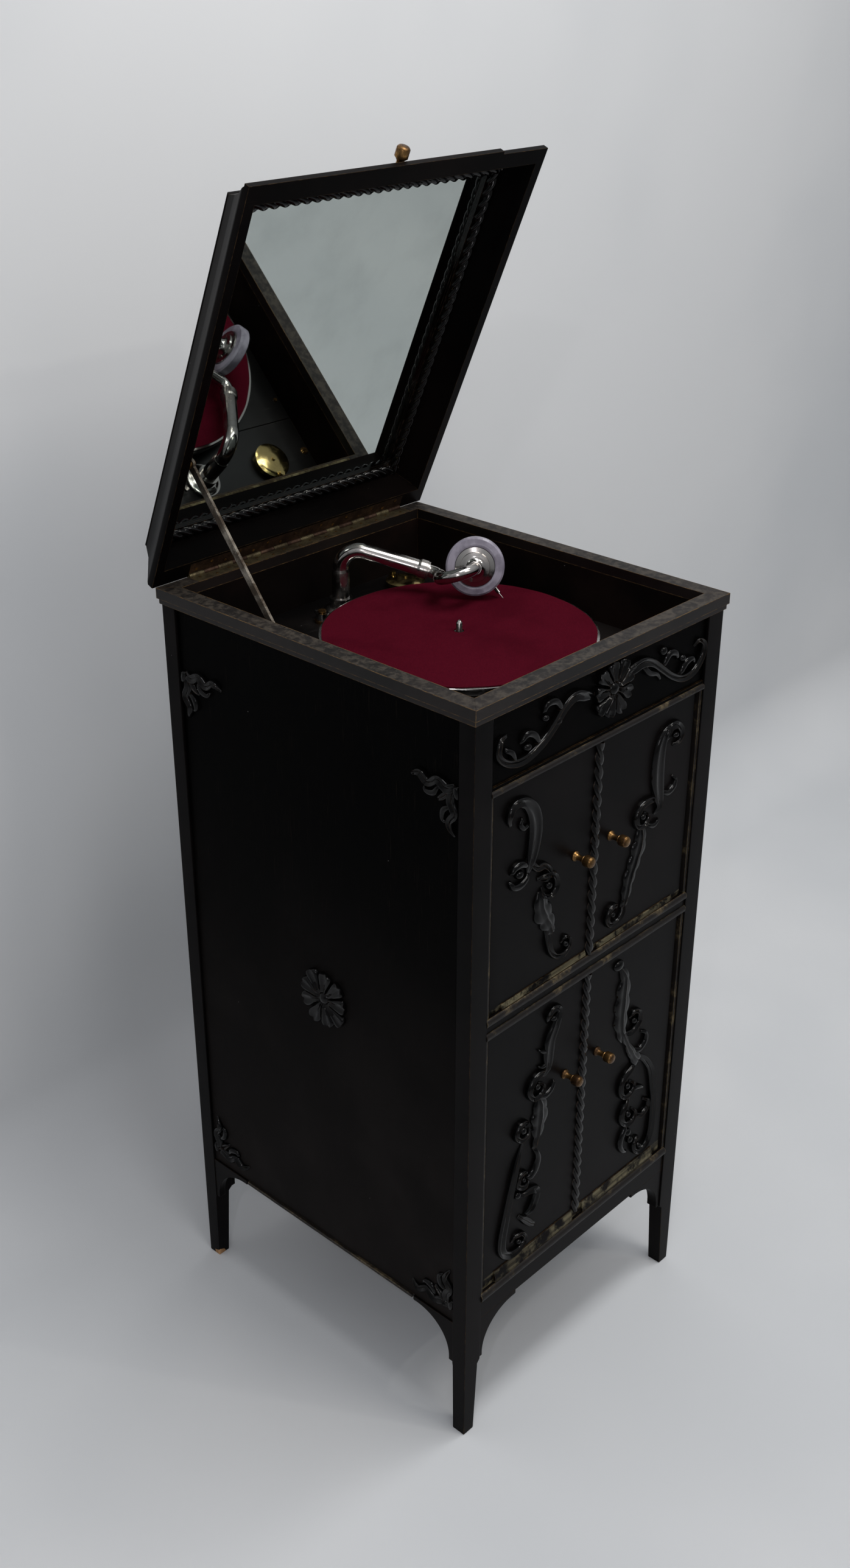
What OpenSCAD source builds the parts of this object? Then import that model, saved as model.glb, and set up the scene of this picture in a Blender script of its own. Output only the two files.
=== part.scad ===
// Floor-standing gramophone cabinet with its lid propped open.
// Millimetres, +Z up, doors towards -Y, origin on the floor under the centre of the case.

/* [Case] */
// width across the corner posts
case_w = 402; // [360:1:480]
// depth across the corner posts
case_d = 452; // [400:1:520]
// height of the corner posts, floor to underside of the rim
case_h = 924; // [860:1:1000]
// width of a corner post
post_x = 26; // [20:1:34]
// depth of a corner post
post_y = 20; // [16:1:30]
// clear height under the case
leg_h = 163; // [120:1:200]
// thickness of the side and back panels
panel_t = 6; // [4:0.5:9]
// step from the face of a post back to its panel
panel_back = 4; // [2:0.5:6]
// depth of the grooves that hold the panels
groove_deep = 6; // [4:0.5:8]
// play at the bottom of each groove
groove_play = 0.5; // [0.2:0.1:1]

/* [Rim] */
// thickness of the rim slab
rim_t = 12; // [9:0.5:16]
// overhang of the rim past the posts
rim_over = 4; // [2:0.5:8]
// width of the rim band
rim_band = 20; // [18:0.5:24]
// depth of the motor board below the rim
well_deep = 70; // [60:1:90]
// thickness of the motor board
board_t = 12; // [8:0.5:16]
// y of the joint between the two boards
board_joint = 112; // [105:1:118]

/* [Doors] */
// thickness of a door
door_t = 14; // [12:0.5:18]
// gap round each door
door_gap = 0.6; // [0.4:0.1:1]
// height of the top of the bottom rail
low_rail_z = 199.4; // [190:0.2:215]
// height of the bottom of the middle rail
mid_rail_z = 548; // [500:1:600]
// height of the middle rail
mid_rail_h = 26.4; // [24:0.2:34]
// height of the front panel above the doors
apron_h = 93; // [86:1:100]
// how far the meeting edge lies right of the centre
meet_x = 3; // [0:0.5:6]
// radius of a door pivot pin
door_pin_r = 2.5; // [2:0.1:3]
// distance of the pivot pins inside the posts
pivot_in = 12; // [11:0.5:14]
// width of the rope moulding on the doors
rope_w = 12; // [9:0.5:14]
// length of a door knob
knob_l = 24; // [18:1:30]
// radius of the head of a door knob
knob_r = 6.3; // [5:0.1:8]
// height of a door carving
carve_h = 4; // [2:0.5:6]

/* [Lid] */
// opening angle of the lid
lid_open = 66.4; // [45:0.1:80]
// width of the lid
lid_w = 420; // [414:1:440]
// depth of the lid from the hinge axis to its front
lid_d = 463; // [455:1:480]
// height of the walls of the lid
lid_wall_h = 43; // [36:1:50]
// thickness of the top board of the lid
lid_top_t = 4; // [3:0.5:6]
// radius of the hinge knuckles
knuckle_r = 3; // [2.5:0.1:3.5]
// length of the hinge
hinge_l = 332; // [280:4:360]
// length of the lid stay between its eyes
stay_l = 241; // [220:1:250]

/* [Turntable] */
// radius of the turntable
platter_r = 152.5; // [130:0.5:155]
// height of the top of the felt above the motor board
platter_top = 27; // [22:0.5:32]
// thickness of the felt
felt_t = 1; // [0.8:0.1:2]
// radius of the spindle
spindle_r = 4; // [3:0.1:5]
// radius of the nose of the spindle
nose_r = 3.55; // [3.4:0.05:3.6]
// x of the spindle
spin_x = 7; // [0:1:12]
// y of the spindle
spin_y = -19; // [-30:1:-10]

/* [Tonearm] */
// distance from the pivot to the collar of the arm
arm_l = 91; // [80:1:100]
// radius of the arm tube
arm_r = 9; // [7.5:0.1:9.3]
// radius of the upright of the arm
riser_r = 10; // [9.6:0.1:12]
// height of the axis of the arm bend above the motor board
arm_rise = 74; // [70:0.5:78]
// downward slope of the arm
arm_slope = 15.4; // [10:0.1:18]
// direction of the arm at rest
arm_dir = -52.3; // [-60:0.1:-45]
// radius of the gooseneck tube
goose_r = 7; // [6:0.1:7.2]
// radius of the soundbox with its rubber flange
box_r = 33; // [28:0.5:36]
// first bend of the gooseneck
neck_bend_1 = 91.54; // [88:0.01:95]
// second bend of the gooseneck
neck_bend_2 = 180; // [174:0.5:180]
// length of the gooseneck between its bends
neck_run = 18.9; // [17:0.1:24]

/* [Clearances] */
// radial clearance of running fits
run_fit = 0.05; // [0.02:0.01:0.1]
// end clearance of running fits
end_fit = 0.3; // [0.1:0.05:0.6]
// clearance between the stay eye and its keeper
stay_clear = 0.4; // [0.3:0.1:1]

/* [Hidden] */
$fn = 48;
px = case_w / 2;
py = case_d / 2;
ix = px - post_x;
iy = py - post_y;
pan_x = px - panel_back - panel_t;
pan_y = py - panel_back - panel_t;
rim_z = case_h + rim_t;
rim_x = px + rim_over;
rim_y = py + rim_over;
well_x = rim_x - rim_band;
well_y = rim_y - rim_band;
board_z = rim_z - well_deep;
top_rail_z = case_h - apron_h;
board_under = board_z - board_t;
cleat_h = 12;
cleat_w = 14;
lining_z = board_under - cleat_h;
rail_in = iy;
rail_out = py - 2;
mid_top_z = mid_rail_z + mid_rail_h;
front_y = -(py - 5);
door_back_y = front_y + door_t;
pivot_x = ix - pivot_in;
pivot_y = front_y + 6;
door_edge_x = pivot_x + 6.9;
upper_z0 = mid_top_z + door_gap;
upper_z1 = top_rail_z - door_gap;
lower_z0 = low_rail_z + door_gap;
lower_z1 = mid_rail_z - door_gap;
tenon_l = 8;
bracket_drop = 60;
shelf_z = mid_rail_z + 5;
floor_z = low_rail_z - 13.4;
bead_w = 4;
hinge_y = rim_y - 1;
hinge_z = rim_z + 0.5;
leaf_t = 1.5;
leaf_w = 17;
hinge_x0 = -160;
lid_x = lid_w / 2;
lid_gap = 0.5;
lid_back = -0.4;
stay_s = 144;
stay_t = 18;
stay_x = -(well_x - 3.5);
stay_bar_t = 3;
stay_up = 20.793;
crank_z = board_z - 56;
crank_y = spin_y;
arbor_r = 5;
crank_arm = 80;
riser_x = 7;
riser_y = 163;
felt_z = board_z + platter_top;
platter_z = felt_z - felt_t;
spindle_top = felt_z + 12;
arm_bend = 22;
collar_r = arm_r + 1.6;
collar_l = 8;
flange_t = 2;
hub_r = spindle_r + 2;
band_l = 1.2;
band_up = 0.12;
neck_r_1 = 14.148;
neck_r_2 = 20.249;
neck_roll_1 = -103.051;
neck_roll_2 = -147.792;
neck_l = 16;
box_roll = 163.243;
cup_x = 115;
cup_y = 164;
cup_r = 21;
brake_x = -30;
brake_y = 156;

// ---------- helpers ----------

// a box between two corners
module span(a, b) {
    translate(a) cube(b - a);
}

// a round bar between two points
module rod(p, q, r) {
    d = q - p;
    translate(p) rotate([0, acos(d[2] / norm(d)), atan2(d[1], d[0])]) cylinder(h = norm(d), r = r);
}

// a quarter or other part of a ring that starts along +Z and bends towards +X
module bend(turn_r, a, r) {
    translate([turn_r, 0, 0]) rotate([90, 0, 0]) rotate([0, 0, 180 - a])
        rotate_extrude(angle = a) translate([turn_r, 0]) circle(r = r);
}

// a narrow soldered band over the joint of two lengths of tube
module band(r) {
    translate([0, 0, -band_l / 2]) cylinder(h = band_l, r = r + band_up);
}

// the frame at the end of such a bend
module past_bend(turn_r, a) {
    translate([turn_r * (1 - cos(a)), 0, turn_r * sin(a)]) rotate([0, a, 0]) children();
}

// a cylinder along X, Y
module cyl_x(r, h) {
    rotate([0, 90, 0]) cylinder(h = h, r = r);
}

module cyl_y(r, h) {
    rotate([-90, 0, 0]) cylinder(h = h, r = r);
}

// an outline drawn in x and z, grown towards -Y from the plane y
module front_relief(y, h) {
    translate([0, y, 0]) rotate([90, 0, 0]) linear_extrude(height = h) children();
}

// an outline drawn in y and z, grown towards -X from the plane x
module side_relief(x, h) {
    translate([x, 0, 0]) rotate([90, 0, -90]) linear_extrude(height = h) mirror([1, 0]) children();
}

// one point of a smooth curve through four neighbours
function cr(a, b, c, d, t) =
    0.5 * (2 * b + (c - a) * t + (2 * a - 5 * b + 4 * c - d) * t * t
    + (3 * b - a - 3 * c + d) * t * t * t);

// a smooth curve through the points p with n steps per stretch
function spline(p, n) = concat(
    [for (i = [0 : len(p) - 2]) for (k = [0 : n - 1])
        cr(p[max(i - 1, 0)], p[i], p[i + 1], p[min(i + 2, len(p) - 1)], k / n)],
    [p[len(p) - 1]]);

function tangent(c, i) =
    let (a = c[max(i - 1, 0)], b = c[min(i + 1, len(c) - 1)], d = [b[0] - a[0], b[1] - a[1]])
    d / norm(d);

function edge(c, side) = [for (i = [0 : len(c) - 1])
    let (t = tangent(c, i)) [c[i][0] - side * t[1] * c[i][2] / 2, c[i][1] + side * t[0] * c[i][2] / 2]];

// a flowing band through the points [x, z, width]
module ribbon(p) {
    c = spline(p, 4);
    e = edge(c, -1);
    polygon(concat(edge(c, 1), [for (i = [len(e) - 1 : -1 : 0]) e[i]]));
}

// a band like ribbon but a share of its width
module ridge(p, share) {
    ribbon([for (q = p) [q[0], q[1], q[2] * share]]);
}

// ---------- case ----------

// a post seen from one side, with a step under the bracket and a tapered foot
module leg_outline(out, in, waist, foot) {
    s = sign(out - in);
    polygon([[out, case_h], [in, case_h], [in, leg_h - bracket_drop], [out - s * waist, leg_h - bracket_drop - 5],
        [out - s * foot, 0], [out, 0]]);
}

module corner_post(sx, sy) {
    difference() {
        intersection() {
            translate([0, sy > 0 ? py : -iy, 0]) rotate([90, 0, 0])
                linear_extrude(height = post_y) leg_outline(sx * px, sx * ix, post_x - 4.4, 16);
            translate([sx > 0 ? px : -ix, 0, 0]) rotate([90, 0, -90])
                linear_extrude(height = post_x) mirror([1, 0]) leg_outline(sy * py, sy * iy, post_y - 0.8, 17.6);
        }
        // room for the lining of the well
        translate([0, 0, lining_z + 50]) cube([2 * pan_x, 2 * pan_y, 100], center = true);
        // groove of the side panel
        translate([sx * (pan_x + panel_t / 2), sy * iy, (case_h + leg_h) / 2])
            cube([panel_t, 2 * groove_deep, case_h - leg_h], center = true);
        // groove of the back or apron panel
        if (sy > 0) {
            translate([sx * ix, pan_y + panel_t / 2, (case_h + leg_h) / 2])
                cube([2 * groove_deep, panel_t, case_h - leg_h], center = true);
        } else {
            translate([sx * ix, -pan_y - panel_t / 2, (case_h + board_under - cleat_h) / 2])
                cube([2 * groove_deep, panel_t, case_h - lining_z], center = true);
            rail_tenons();
        }
    }
}

module post_front_left() {
    color("#1d1815") corner_post(-1, -1);
}

module post_front_right() {
    color("#1d1815") corner_post(1, -1);
}

module post_back_left() {
    color("#1d1815") corner_post(-1, 1);
}

module post_back_right() {
    color("#1d1815") corner_post(1, 1);
}

module side_panel(sx) {
    tongue = iy + groove_deep - groove_play;
    span([min(sx * pan_x, sx * (pan_x + panel_t)), -tongue, leg_h],
        [max(sx * pan_x, sx * (pan_x + panel_t)), tongue, case_h]);
}

module side_panel_left() {
    color("#241c17") side_panel(-1);
}

module side_panel_right() {
    color("#241c17") difference() {
        side_panel(1);
        translate([0, crank_y, crank_z]) cyl_x(arbor_r + 2, px);
    }
}

module back_panel() {
    tongue = ix + groove_deep - groove_play;
    color("#241c17") span([-tongue, pan_y, leg_h], [tongue, pan_y + panel_t, case_h]);
}

// tenons of the three rails, reaching into the posts
module rail_tenons() {
    for (z = [[leg_h + 8, low_rail_z - 8], [mid_rail_z + 6, mid_top_z - 6]]) {
        span([-ix - tenon_l, -rail_out + 5, z[0]], [ix + tenon_l, -rail_in - 4, z[1]]);
    }
}

module rail(z0, z1) {
    span([-ix, -rail_out, z0], [ix, -rail_in, z1]);
}

// blind holes for the door pivot pins, above and below each rail
module pin_holes() {
    for (sx = [-1, 1], z = [low_rail_z, mid_top_z]) {
        translate([sx * pivot_x, pivot_y, z - 10]) cylinder(h = 20, r = door_pin_r + run_fit);
    }
    for (sx = [-1, 1], z = [mid_rail_z, top_rail_z]) {
        translate([sx * pivot_x, pivot_y, z - 10]) cylinder(h = 20, r = door_pin_r + run_fit);
    }
}

// panel above the doors with the rail it stands on
module apron() {
    tongue = ix + groove_deep - groove_play;
    color("#1b1613") difference() {
        union() {
            rail(top_rail_z, lining_z);
            span([-tongue, -pan_y - panel_t, lining_z], [tongue, -pan_y, case_h]);
        }
        pin_holes();
    }
}

module mid_rail() {
    color("#1b1613") difference() {
        union() {
            rail(mid_rail_z, mid_top_z);
            intersection() {
                rail_tenons();
                span([-px, -py, mid_rail_z], [px, 0, mid_top_z]);
            }
        }
        pin_holes();
    }
}

module bottom_rail() {
    color("#1b1613") difference() {
        union() {
            rail(leg_h, low_rail_z);
            intersection() {
                rail_tenons();
                span([-px, -py, leg_h], [px, 0, low_rail_z]);
            }
        }
        pin_holes();
    }
}

// half-round strip along X on the face of a rail, between heights z0 and z1
module strip(z0, z1, out) {
    r = (z1 - z0) / 2;
    intersection() {
        translate([-ix, -rail_out, (z0 + z1) / 2]) scale([1, out / r, 1]) cyl_x(r, 2 * ix);
        span([-ix, -rail_out - out, z0], [ix, -rail_out, z1]);
    }
}

module mouldings() {
    color("#6b4a2a") union() {
        strip(top_rail_z + 0.4, top_rail_z + 7.4, 3);
        strip(mid_rail_z, mid_rail_z + 9, 3);
        strip(mid_top_z - 9, mid_top_z, 3);
        strip(low_rail_z - 11, low_rail_z, 4);
        for (sx = [-1, 1], z = [[lower_z0, lower_z1], [upper_z0, upper_z1]]) {
            span([sx > 0 ? ix - bead_w : -ix, -rail_out, z[0]],
                [sx > 0 ? ix : -ix + bead_w, -rail_in - 6, z[1]]);
        }
        // strip under each side panel
        for (sx = [-1, 1]) {
            span([sx > 0 ? pan_x : -px + 1, -iy + 64, leg_h - 4], [sx > 0 ? px - 1 : -pan_x, iy - 64, leg_h]);
        }
    }
}

// bracket outline: a small step, a wide hollow and another step
module bracket_outline(len, drop) {
    a = 6;
    translate([0, -a]) square([len, a]);
    translate([0, -drop]) square([a, drop]);
    difference() {
        translate([0, -drop + a]) square([len - a, drop - a]);
        translate([len - a, -drop + a]) scale([(len - 2 * a) / (drop - 2 * a), 1])
            circle(r = drop - 2 * a, $fn = 64);
    }
}

module brackets() {
    color("#1b1613") union() {
        for (sx = [-1, 1], y = [-rail_out, rail_in]) {
            translate([sx * ix, y + 14, leg_h]) rotate([90, 0, 0]) linear_extrude(height = 14)
                mirror([sx > 0 ? 1 : 0, 0]) bracket_outline(64, bracket_drop);
        }
        for (sx = [-1, 1], sy = [-1, 1]) {
            translate([sx > 0 ? px - 1 : -pan_x, sy * iy, leg_h]) rotate([90, 0, -90])
                linear_extrude(height = px - 1 - pan_x) mirror([sy > 0 ? 0 : 1, 0]) bracket_outline(62, bracket_drop);
        }
    }
}

// a rectangular ring about the centre of the case
module ring(ox, oy, wx, wy, z0, z1) {
    difference() {
        span([-ox, -oy, z0], [ox, oy, z1]);
        span([-wx, -wy, z0 - 1], [wx, wy, z1 + 1]);
    }
}

module top_rim() {
    cove = 6;
    color("#4a4038") difference() {
        union() {
            ring(rim_x, rim_y, well_x, well_y, case_h, rim_z);
            // hollow moulding under the overhang
            ring(rim_x - 2, rim_y - 2, px, py, case_h - cove, case_h);
        }
        // fine mitre lines
        for (sx = [-1, 1], sy = [-1, 1]) {
            translate([sx * rim_x, sy * rim_y, rim_z]) rotate([0, 0, 45 * sx * sy])
                cube([3 * rim_band, 0.3, 0.8], center = true);
        }
        // seat of the hinge
        span([hinge_x0, hinge_y - leaf_w, rim_z - leaf_t], [hinge_x0 + hinge_l, rim_y + 1, rim_z + 1]);
        translate([hinge_x0, hinge_y, hinge_z]) cyl_x(knuckle_r + 0.3, hinge_l);
    }
}

module well_lining() {
    color("#15100e") union() {
        ring(pan_x, pan_y, well_x, well_y, lining_z, case_h);
        ring(well_x, well_y, well_x - cleat_w, well_y - cleat_w, lining_z, board_under);
    }
}

module motor_board() {
    color("#17110f") difference() {
        span([-well_x + 0.5, -well_y + 0.5, board_under], [well_x - 0.5, board_joint, board_z]);
        translate([spin_x, spin_y, board_under - 1]) cylinder(h = board_t + 2, r = spindle_r + 6);
    }
}

module rear_board() {
    color("#17110f") difference() {
        span([-well_x + 0.5, board_joint + 0.5, board_under], [well_x - 0.5, well_y - 0.5, board_z]);
        translate([riser_x, riser_y, board_under - 1]) cylinder(h = board_t + 2, r = 12);
    }
}

// a board between the panels, notched round the posts
module inner_board(z, t) {
    span([-pan_x, -iy, z], [pan_x, iy, z + t]);
    span([-ix, iy - 1, z], [ix, pan_y, z + t]);
}

// shelf under the horn and floor of the record space
module inner_boards() {
    color("#1a1411") union() {
        inner_board(shelf_z, 12);
        inner_board(floor_z, 10);
    }
}

module sound_horn() {
    color("#2a211b") difference() {
        horn_shape(5, -196);
        horn_shape(0, -197);
    }
}

module horn_shape(w, y) {
    intersection() {
        translate([200, 0, 0]) rotate([90, 0, -90]) linear_extrude(height = 400)
            mirror([1, 0]) horn_side(w, y);
        translate([0, 0, shelf_z]) linear_extrude(height = 400) horn_plan(w, y);
    }
}

// plan of the horn, grown outwards by w, its mouth at y
module horn_plan(w, y) {
    side = spline([[110, -120, 0], [56, -10, 0], [26, 100, 0], [17, 150, 0]], 3);
    polygon(concat([[150 + w, y]], [for (q = side) [q[0] + w, q[1]]],
        [[17 + w, 180 + w], [-17 - w, 180 + w]],
        [for (i = [len(side) - 1 : -1 : 0]) [-side[i][0] - w, side[i][1]]], [[-150 - w, y]]));
}

// side outline of the horn, grown outwards by w, its mouth at y
module horn_side(w, y) {
    z0 = shelf_z + 12;
    roof = spline([[-110, 156, 0], [0, 118, 0], [90, 88, 0], [130, 84, 0]], 3);
    polygon(concat([[y, z0 + 172 + w]], [for (q = roof) [q[0], z0 + q[1] + w]],
        [[146 - w, z0 + 86 + w], [146 - w, neck_top(w)], [180 + w, neck_top(w)],
        [180 + w, z0 + 42 - w], [120, z0 + 34 - w], [0, z0 + 12 - w], [y, z0 + 5 - w]]));
}

function neck_top(w) = board_under + (w > 0 ? 0 : 1);

// ---------- carvings ----------

// an oval leaf bud
module bud(x, z, a, long, wide) {
    translate([x, z]) rotate(a) scale([wide / long, 1]) circle(r = long, $fn = 24);
}

// garland of the front panel, measured from the middle of the panel above the rail
apron_left = [
    [[-19, 1, 8], [-34, 7, 13], [-50, 12, 13], [-66, 6, 11], [-84, -10, 10], [-104, -23, 11],
        [-130, -30, 11], [-152, -25, 10], [-166, -12, 9], [-163, 2, 7], [-152, 4, 4]],
    [[-104, -22, 5], [-112, -9, 9], [-124, -4, 8], [-133, -12, 3]],
    [[-70, 2, 5], [-80, 16, 9], [-94, 18, 8], [-99, 9, 3]],
];
apron_right = [
    [[27, 5, 10], [42, 10, 13], [60, 13, 13], [78, 7, 11], [96, -6, 10], [114, -19, 10],
        [134, -28, 10], [154, -26, 10], [167, -14, 9], [170, 0, 8], [162, 7, 6], [154, 2, 3]],
    [[96, -5, 5], [106, 8, 9], [118, 6, 8], [123, -3, 3]],
    [[128, -24, 5], [138, -12, 9], [150, -10, 7], [155, -18, 3]],
];

module strokes(list, share) {
    for (p = list) {
        ridge(p, share);
    }
}

// petals round a centre
module rosette_outline(r, petals) {
    wide = 2 * r / petals;
    circle(r = r * 0.4, $fn = 24);
    for (k = [0 : petals - 1]) {
        rotate(360 * k / petals + 17) translate([r - wide, 0]) circle(r = wide, $fn = 20);
        rotate(360 * k / petals + 17) translate([0, -wide * 0.6]) square([r - wide, wide * 1.2]);
    }
}

corner_leaf = [
    [[-66, 13, 3], [-54, 7, 9], [-42, 14, 10], [-30, 7, 11], [-18, 12, 12], [-8, 8, 8]],
    [[-10, 10, 8], [-12, 24, 12], [-7, 36, 11], [-14, 48, 9], [-8, 62, 3]],
    [[-28, 12, 4], [-34, 22, 8], [-44, 24, 6], [-48, 19, 3]],
    [[-14, 14, 6], [-22, 22, 9], [-30, 28, 3]],
];

module case_carvings() {
    apron_y = -(pan_y + panel_t);
    panel_x = -(pan_x + panel_t);
    apron_mid_z = case_h - 38;
    flower_z = (case_h + leg_h) / 2 - 31;
    color("#201915") union() {
        translate([0, 0, apron_mid_z]) {
            front_relief(apron_y, carve_h) strokes(concat(apron_left, apron_right), 1);
            front_relief(apron_y - carve_h, 1.5) strokes([apron_left[0], apron_right[0]], 0.5);
            front_relief(apron_y, carve_h) translate([12, 0]) rosette_outline(33, 9);
        }
        translate([12, apron_y - carve_h, apron_mid_z]) rotate([90, 0, 0]) cylinder(h = 3, r1 = 13, r2 = 7);
        for (m = [0, 1]) {
            mirror([m, 0, 0]) {
                translate([panel_x, -8, flower_z]) rotate([0, -90, 0]) {
                    linear_extrude(height = carve_h) rosette_outline(37, 9);
                    translate([0, 0, carve_h]) cylinder(h = 3, r1 = 13, r2 = 7);
                }
                for (n = [0, 1]) {
                    mirror([0, n, 0]) {
                        side_relief(panel_x, carve_h) translate([iy - 1, leg_h + 11])
                            strokes(corner_leaf, 1);
                        side_relief(panel_x, carve_h) translate([iy - 1, case_h - 72]) mirror([0, 1])
                            strokes(corner_leaf, 1);
                    }
                }
            }
        }
    }
}

// ---------- doors ----------

// plan of a left door with its outer edge rounded about the pivot
module door_plan(x1) {
    r = door_edge_x - pivot_x;
    translate([-pivot_x, front_y]) square([pivot_x + x1, door_t]);
    translate([-door_edge_x, pivot_y]) square([r + 1, door_back_y - pivot_y]);
    intersection() {
        translate([-pivot_x, pivot_y]) circle(r = r);
        translate([-door_edge_x, front_y]) square([r + 1, 6 + 1]);
    }
}

// sloping strip along the foot of a left door, high and out at its lower edge
module foot_strip(z, high, out) {
    x0 = -pivot_x + 14;
    translate([x0, front_y, z]) rotate([90, 0, 90]) linear_extrude(height = meet_x - rope_w - 1 - x0)
        polygon([[1, 0], [-out, 0], [-out, high * 0.3], [-1, high], [1, high]]);
}

module door(sx, z0, z1, strip_h, strip_out) {
    edge_x = sx < 0 ? meet_x : -meet_x - 0.8;
    difference() {
        mirror([sx > 0 ? 1 : 0, 0, 0]) {
            translate([0, 0, z0]) linear_extrude(height = z1 - z0) door_plan(edge_x);
            foot_strip(z0, strip_h, strip_out);
        }
        for (z = [z0, z1]) {
            translate([sx * pivot_x, pivot_y, z - 9]) cylinder(h = 18, r = door_pin_r + run_fit);
        }
    }
}

module door_upper_left() {
    color("#1a1411") door(-1, upper_z0, upper_z1, 6, 2.5);
}

module door_upper_right() {
    color("#1a1411") door(1, upper_z0, upper_z1, 6, 2.5);
}

module door_lower_left() {
    color("#1a1411") door(-1, lower_z0, lower_z1, 15, 3.5);
}

module door_lower_right() {
    color("#1a1411") door(1, lower_z0, lower_z1, 15, 3.5);
}

// carved strokes of the doors, each [x, z, width] measured from the centre of its door
upper_left_strokes = [
    [[-58, 84, 4], [-63, 96, 8], [-55, 107, 10], [-39, 104, 14], [-26, 90, 19], [-21, 71, 20],
        [-23, 49, 18], [-28, 32, 13], [-30, 19, 6]],
    [[-31, 77, 4], [-39, 75, 7], [-44, 81, 6], [-41, 88, 3]],
    [[-28, 19, 5], [-41, 11, 9], [-53, 13, 8], [-58, 21, 4]],
    [[-29, 35, 8], [-18, 21, 9], [-6, 19, 9], [3, 10, 8], [-1, 1, 6], [-10, 3, 3]],
    [[-14, 5, 5], [-2, 6, 8], [12, 0, 9], [16, -13, 9], [7, -22, 7], [-5, -17, 6], [-6, -7, 3]],
    [[-9, -11, 8], [-6, -31, 25], [2, -48, 25], [9, -62, 17], [10, -73, 8]],
    [[5, -63, 8], [7, -81, 9], [11, -93, 9], [19, -102, 8], [31, -106, 8], [41, -101, 6], [43, -92, 3]],
];
upper_right_strokes = [
    [[36, 84, 4], [32, 92, 8], [39, 101, 11], [51, 100, 11], [59, 90, 9], [56, 80, 6], [46, 77, 4]],
    [[43, 104, 6], [29, 98, 13], [22, 84, 18], [20, 64, 21], [21, 42, 21], [24, 24, 17], [26, 11, 10],
        [21, 1, 5]],
    [[29, 27, 5], [41, 21, 8], [51, 24, 8], [55, 32, 5], [50, 38, 3]],
    [[22, 19, 6], [10, 24, 9], [-6, 22, 9], [-15, 11, 9], [-11, -1, 8], [1, -3, 7], [8, 5, 3]],
    [[7, -6, 5], [18, -11, 7], [29, -7, 3]],
    [[-2, -4, 10], [-4, -25, 24], [-12, -45, 21], [-20, -63, 19], [-25, -83, 15], [-30, -98, 8]],
    [[-27, -85, 6], [-31, -100, 9], [-39, -108, 8], [-51, -108, 8], [-58, -99, 8], [-54, -88, 5]],
];
lower_left_strokes = [
    [[14, 142, 4], [12, 152, 7], [21, 158, 9], [31, 152, 10], [26, 136, 14], [17, 118, 17], [15, 100, 17],
        [14, 84, 12], [9, 73, 6]],
    [[13, 76, 6], [4, 82, 8], [-9, 78, 9], [-16, 66, 9], [-9, 54, 8], [3, 53, 7], [9, 62, 3]],
    [[-3, 53, 5], [11, 46, 8], [23, 50, 7], [29, 58, 3]],
    [[3, 50, 8], [6, 29, 28], [4, 10, 24], [0, -7, 12], [-4, -20, 6]],
    [[-10, 13, 5], [-17, 7, 6], [-29, 8, 8], [-36, 18, 8], [-30, 28, 7], [-19, 28, 3]],
    [[-22, 0, 4], [-33, -23, 9], [-42, -54, 11], [-50, -89, 13], [-56, -119, 14], [-54, -138, 13],
        [-41, -148, 12], [-25, -149, 10], [-15, -140, 5]],
    [[-2, -20, 5], [4, -36, 10], [-1, -51, 12], [-13, -58, 8]],
    [[-26, -74, 5], [-12, -75, 9], [3, -82, 12], [-1, -98, 13], [-14, -110, 8]],
    [[-26, -104, 5], [-15, -115, 11], [-5, -126, 10], [5, -134, 2]],
];
lower_right_strokes = [
    [[-22, 150, 8], [-15, 134, 16], [-15, 116, 24], [-16, 96, 26], [-17, 76, 24], [-15, 58, 17],
        [-9, 40, 8]],
    [[-8, 50, 6], [7, 50, 9], [18, 59, 9], [16, 72, 8], [6, 76, 4]],
    [[-17, 64, 8], [-6, 41, 11], [5, 22, 13], [15, 6, 18], [26, -7, 12]],
    [[15, 17, 5], [24, 14, 8], [34, 21, 8], [34, 32, 4]],
    [[22, -2, 6], [7, -7, 9], [-7, -16, 9], [-10, -30, 9], [-3, -42, 8], [10, -43, 7], [17, -33, 3]],
    [[11, -50, 5], [0, -59, 9], [-5, -73, 10], [3, -86, 9], [16, -89, 8], [23, -79, 3]],
    [[24, 4, 6], [38, -10, 10], [50, -30, 12], [56, -56, 12], [60, -84, 12], [60, -112, 12],
        [58, -133, 12], [49, -146, 11], [37, -146, 9], [27, -139, 5]],
    [[9, -90, 5], [0, -102, 9], [-3, -115, 9], [3, -127, 7], [13, -134, 3]],
];

door_mid_x = (meet_x - door_edge_x) / 2;
upper_mid_z = (upper_z0 + upper_z1) / 2;
lower_mid_z = (lower_z0 + lower_z1) / 2;
// heights of the doors for which the strokes are drawn
upper_drawn = 255.4;
lower_drawn = 347.4;

// a door carving in two layers, stretched in z by the share tall
module door_carving(x, z, tall, list) {
    translate([x, 0, z]) {
        front_relief(front_y, carve_h) scale([1, tall]) strokes(list, 1);
        front_relief(front_y - carve_h, 2) scale([1, tall]) strokes(list, 0.45);
    }
}

module carving_upper(x, list) {
    color("#201915") door_carving(x, upper_mid_z, (upper_z1 - upper_z0) / upper_drawn, list);
}

module carving_lower(x, list) {
    color("#201915") door_carving(x, lower_mid_z, (lower_z1 - lower_z0) / lower_drawn, list);
}

module carving_upper_left() {
    carving_upper(door_mid_x, upper_left_strokes);
}

module carving_upper_right() {
    carving_upper(-door_mid_x, upper_right_strokes);
}

module carving_lower_left() {
    carving_lower(door_mid_x, lower_left_strokes);
}

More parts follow.
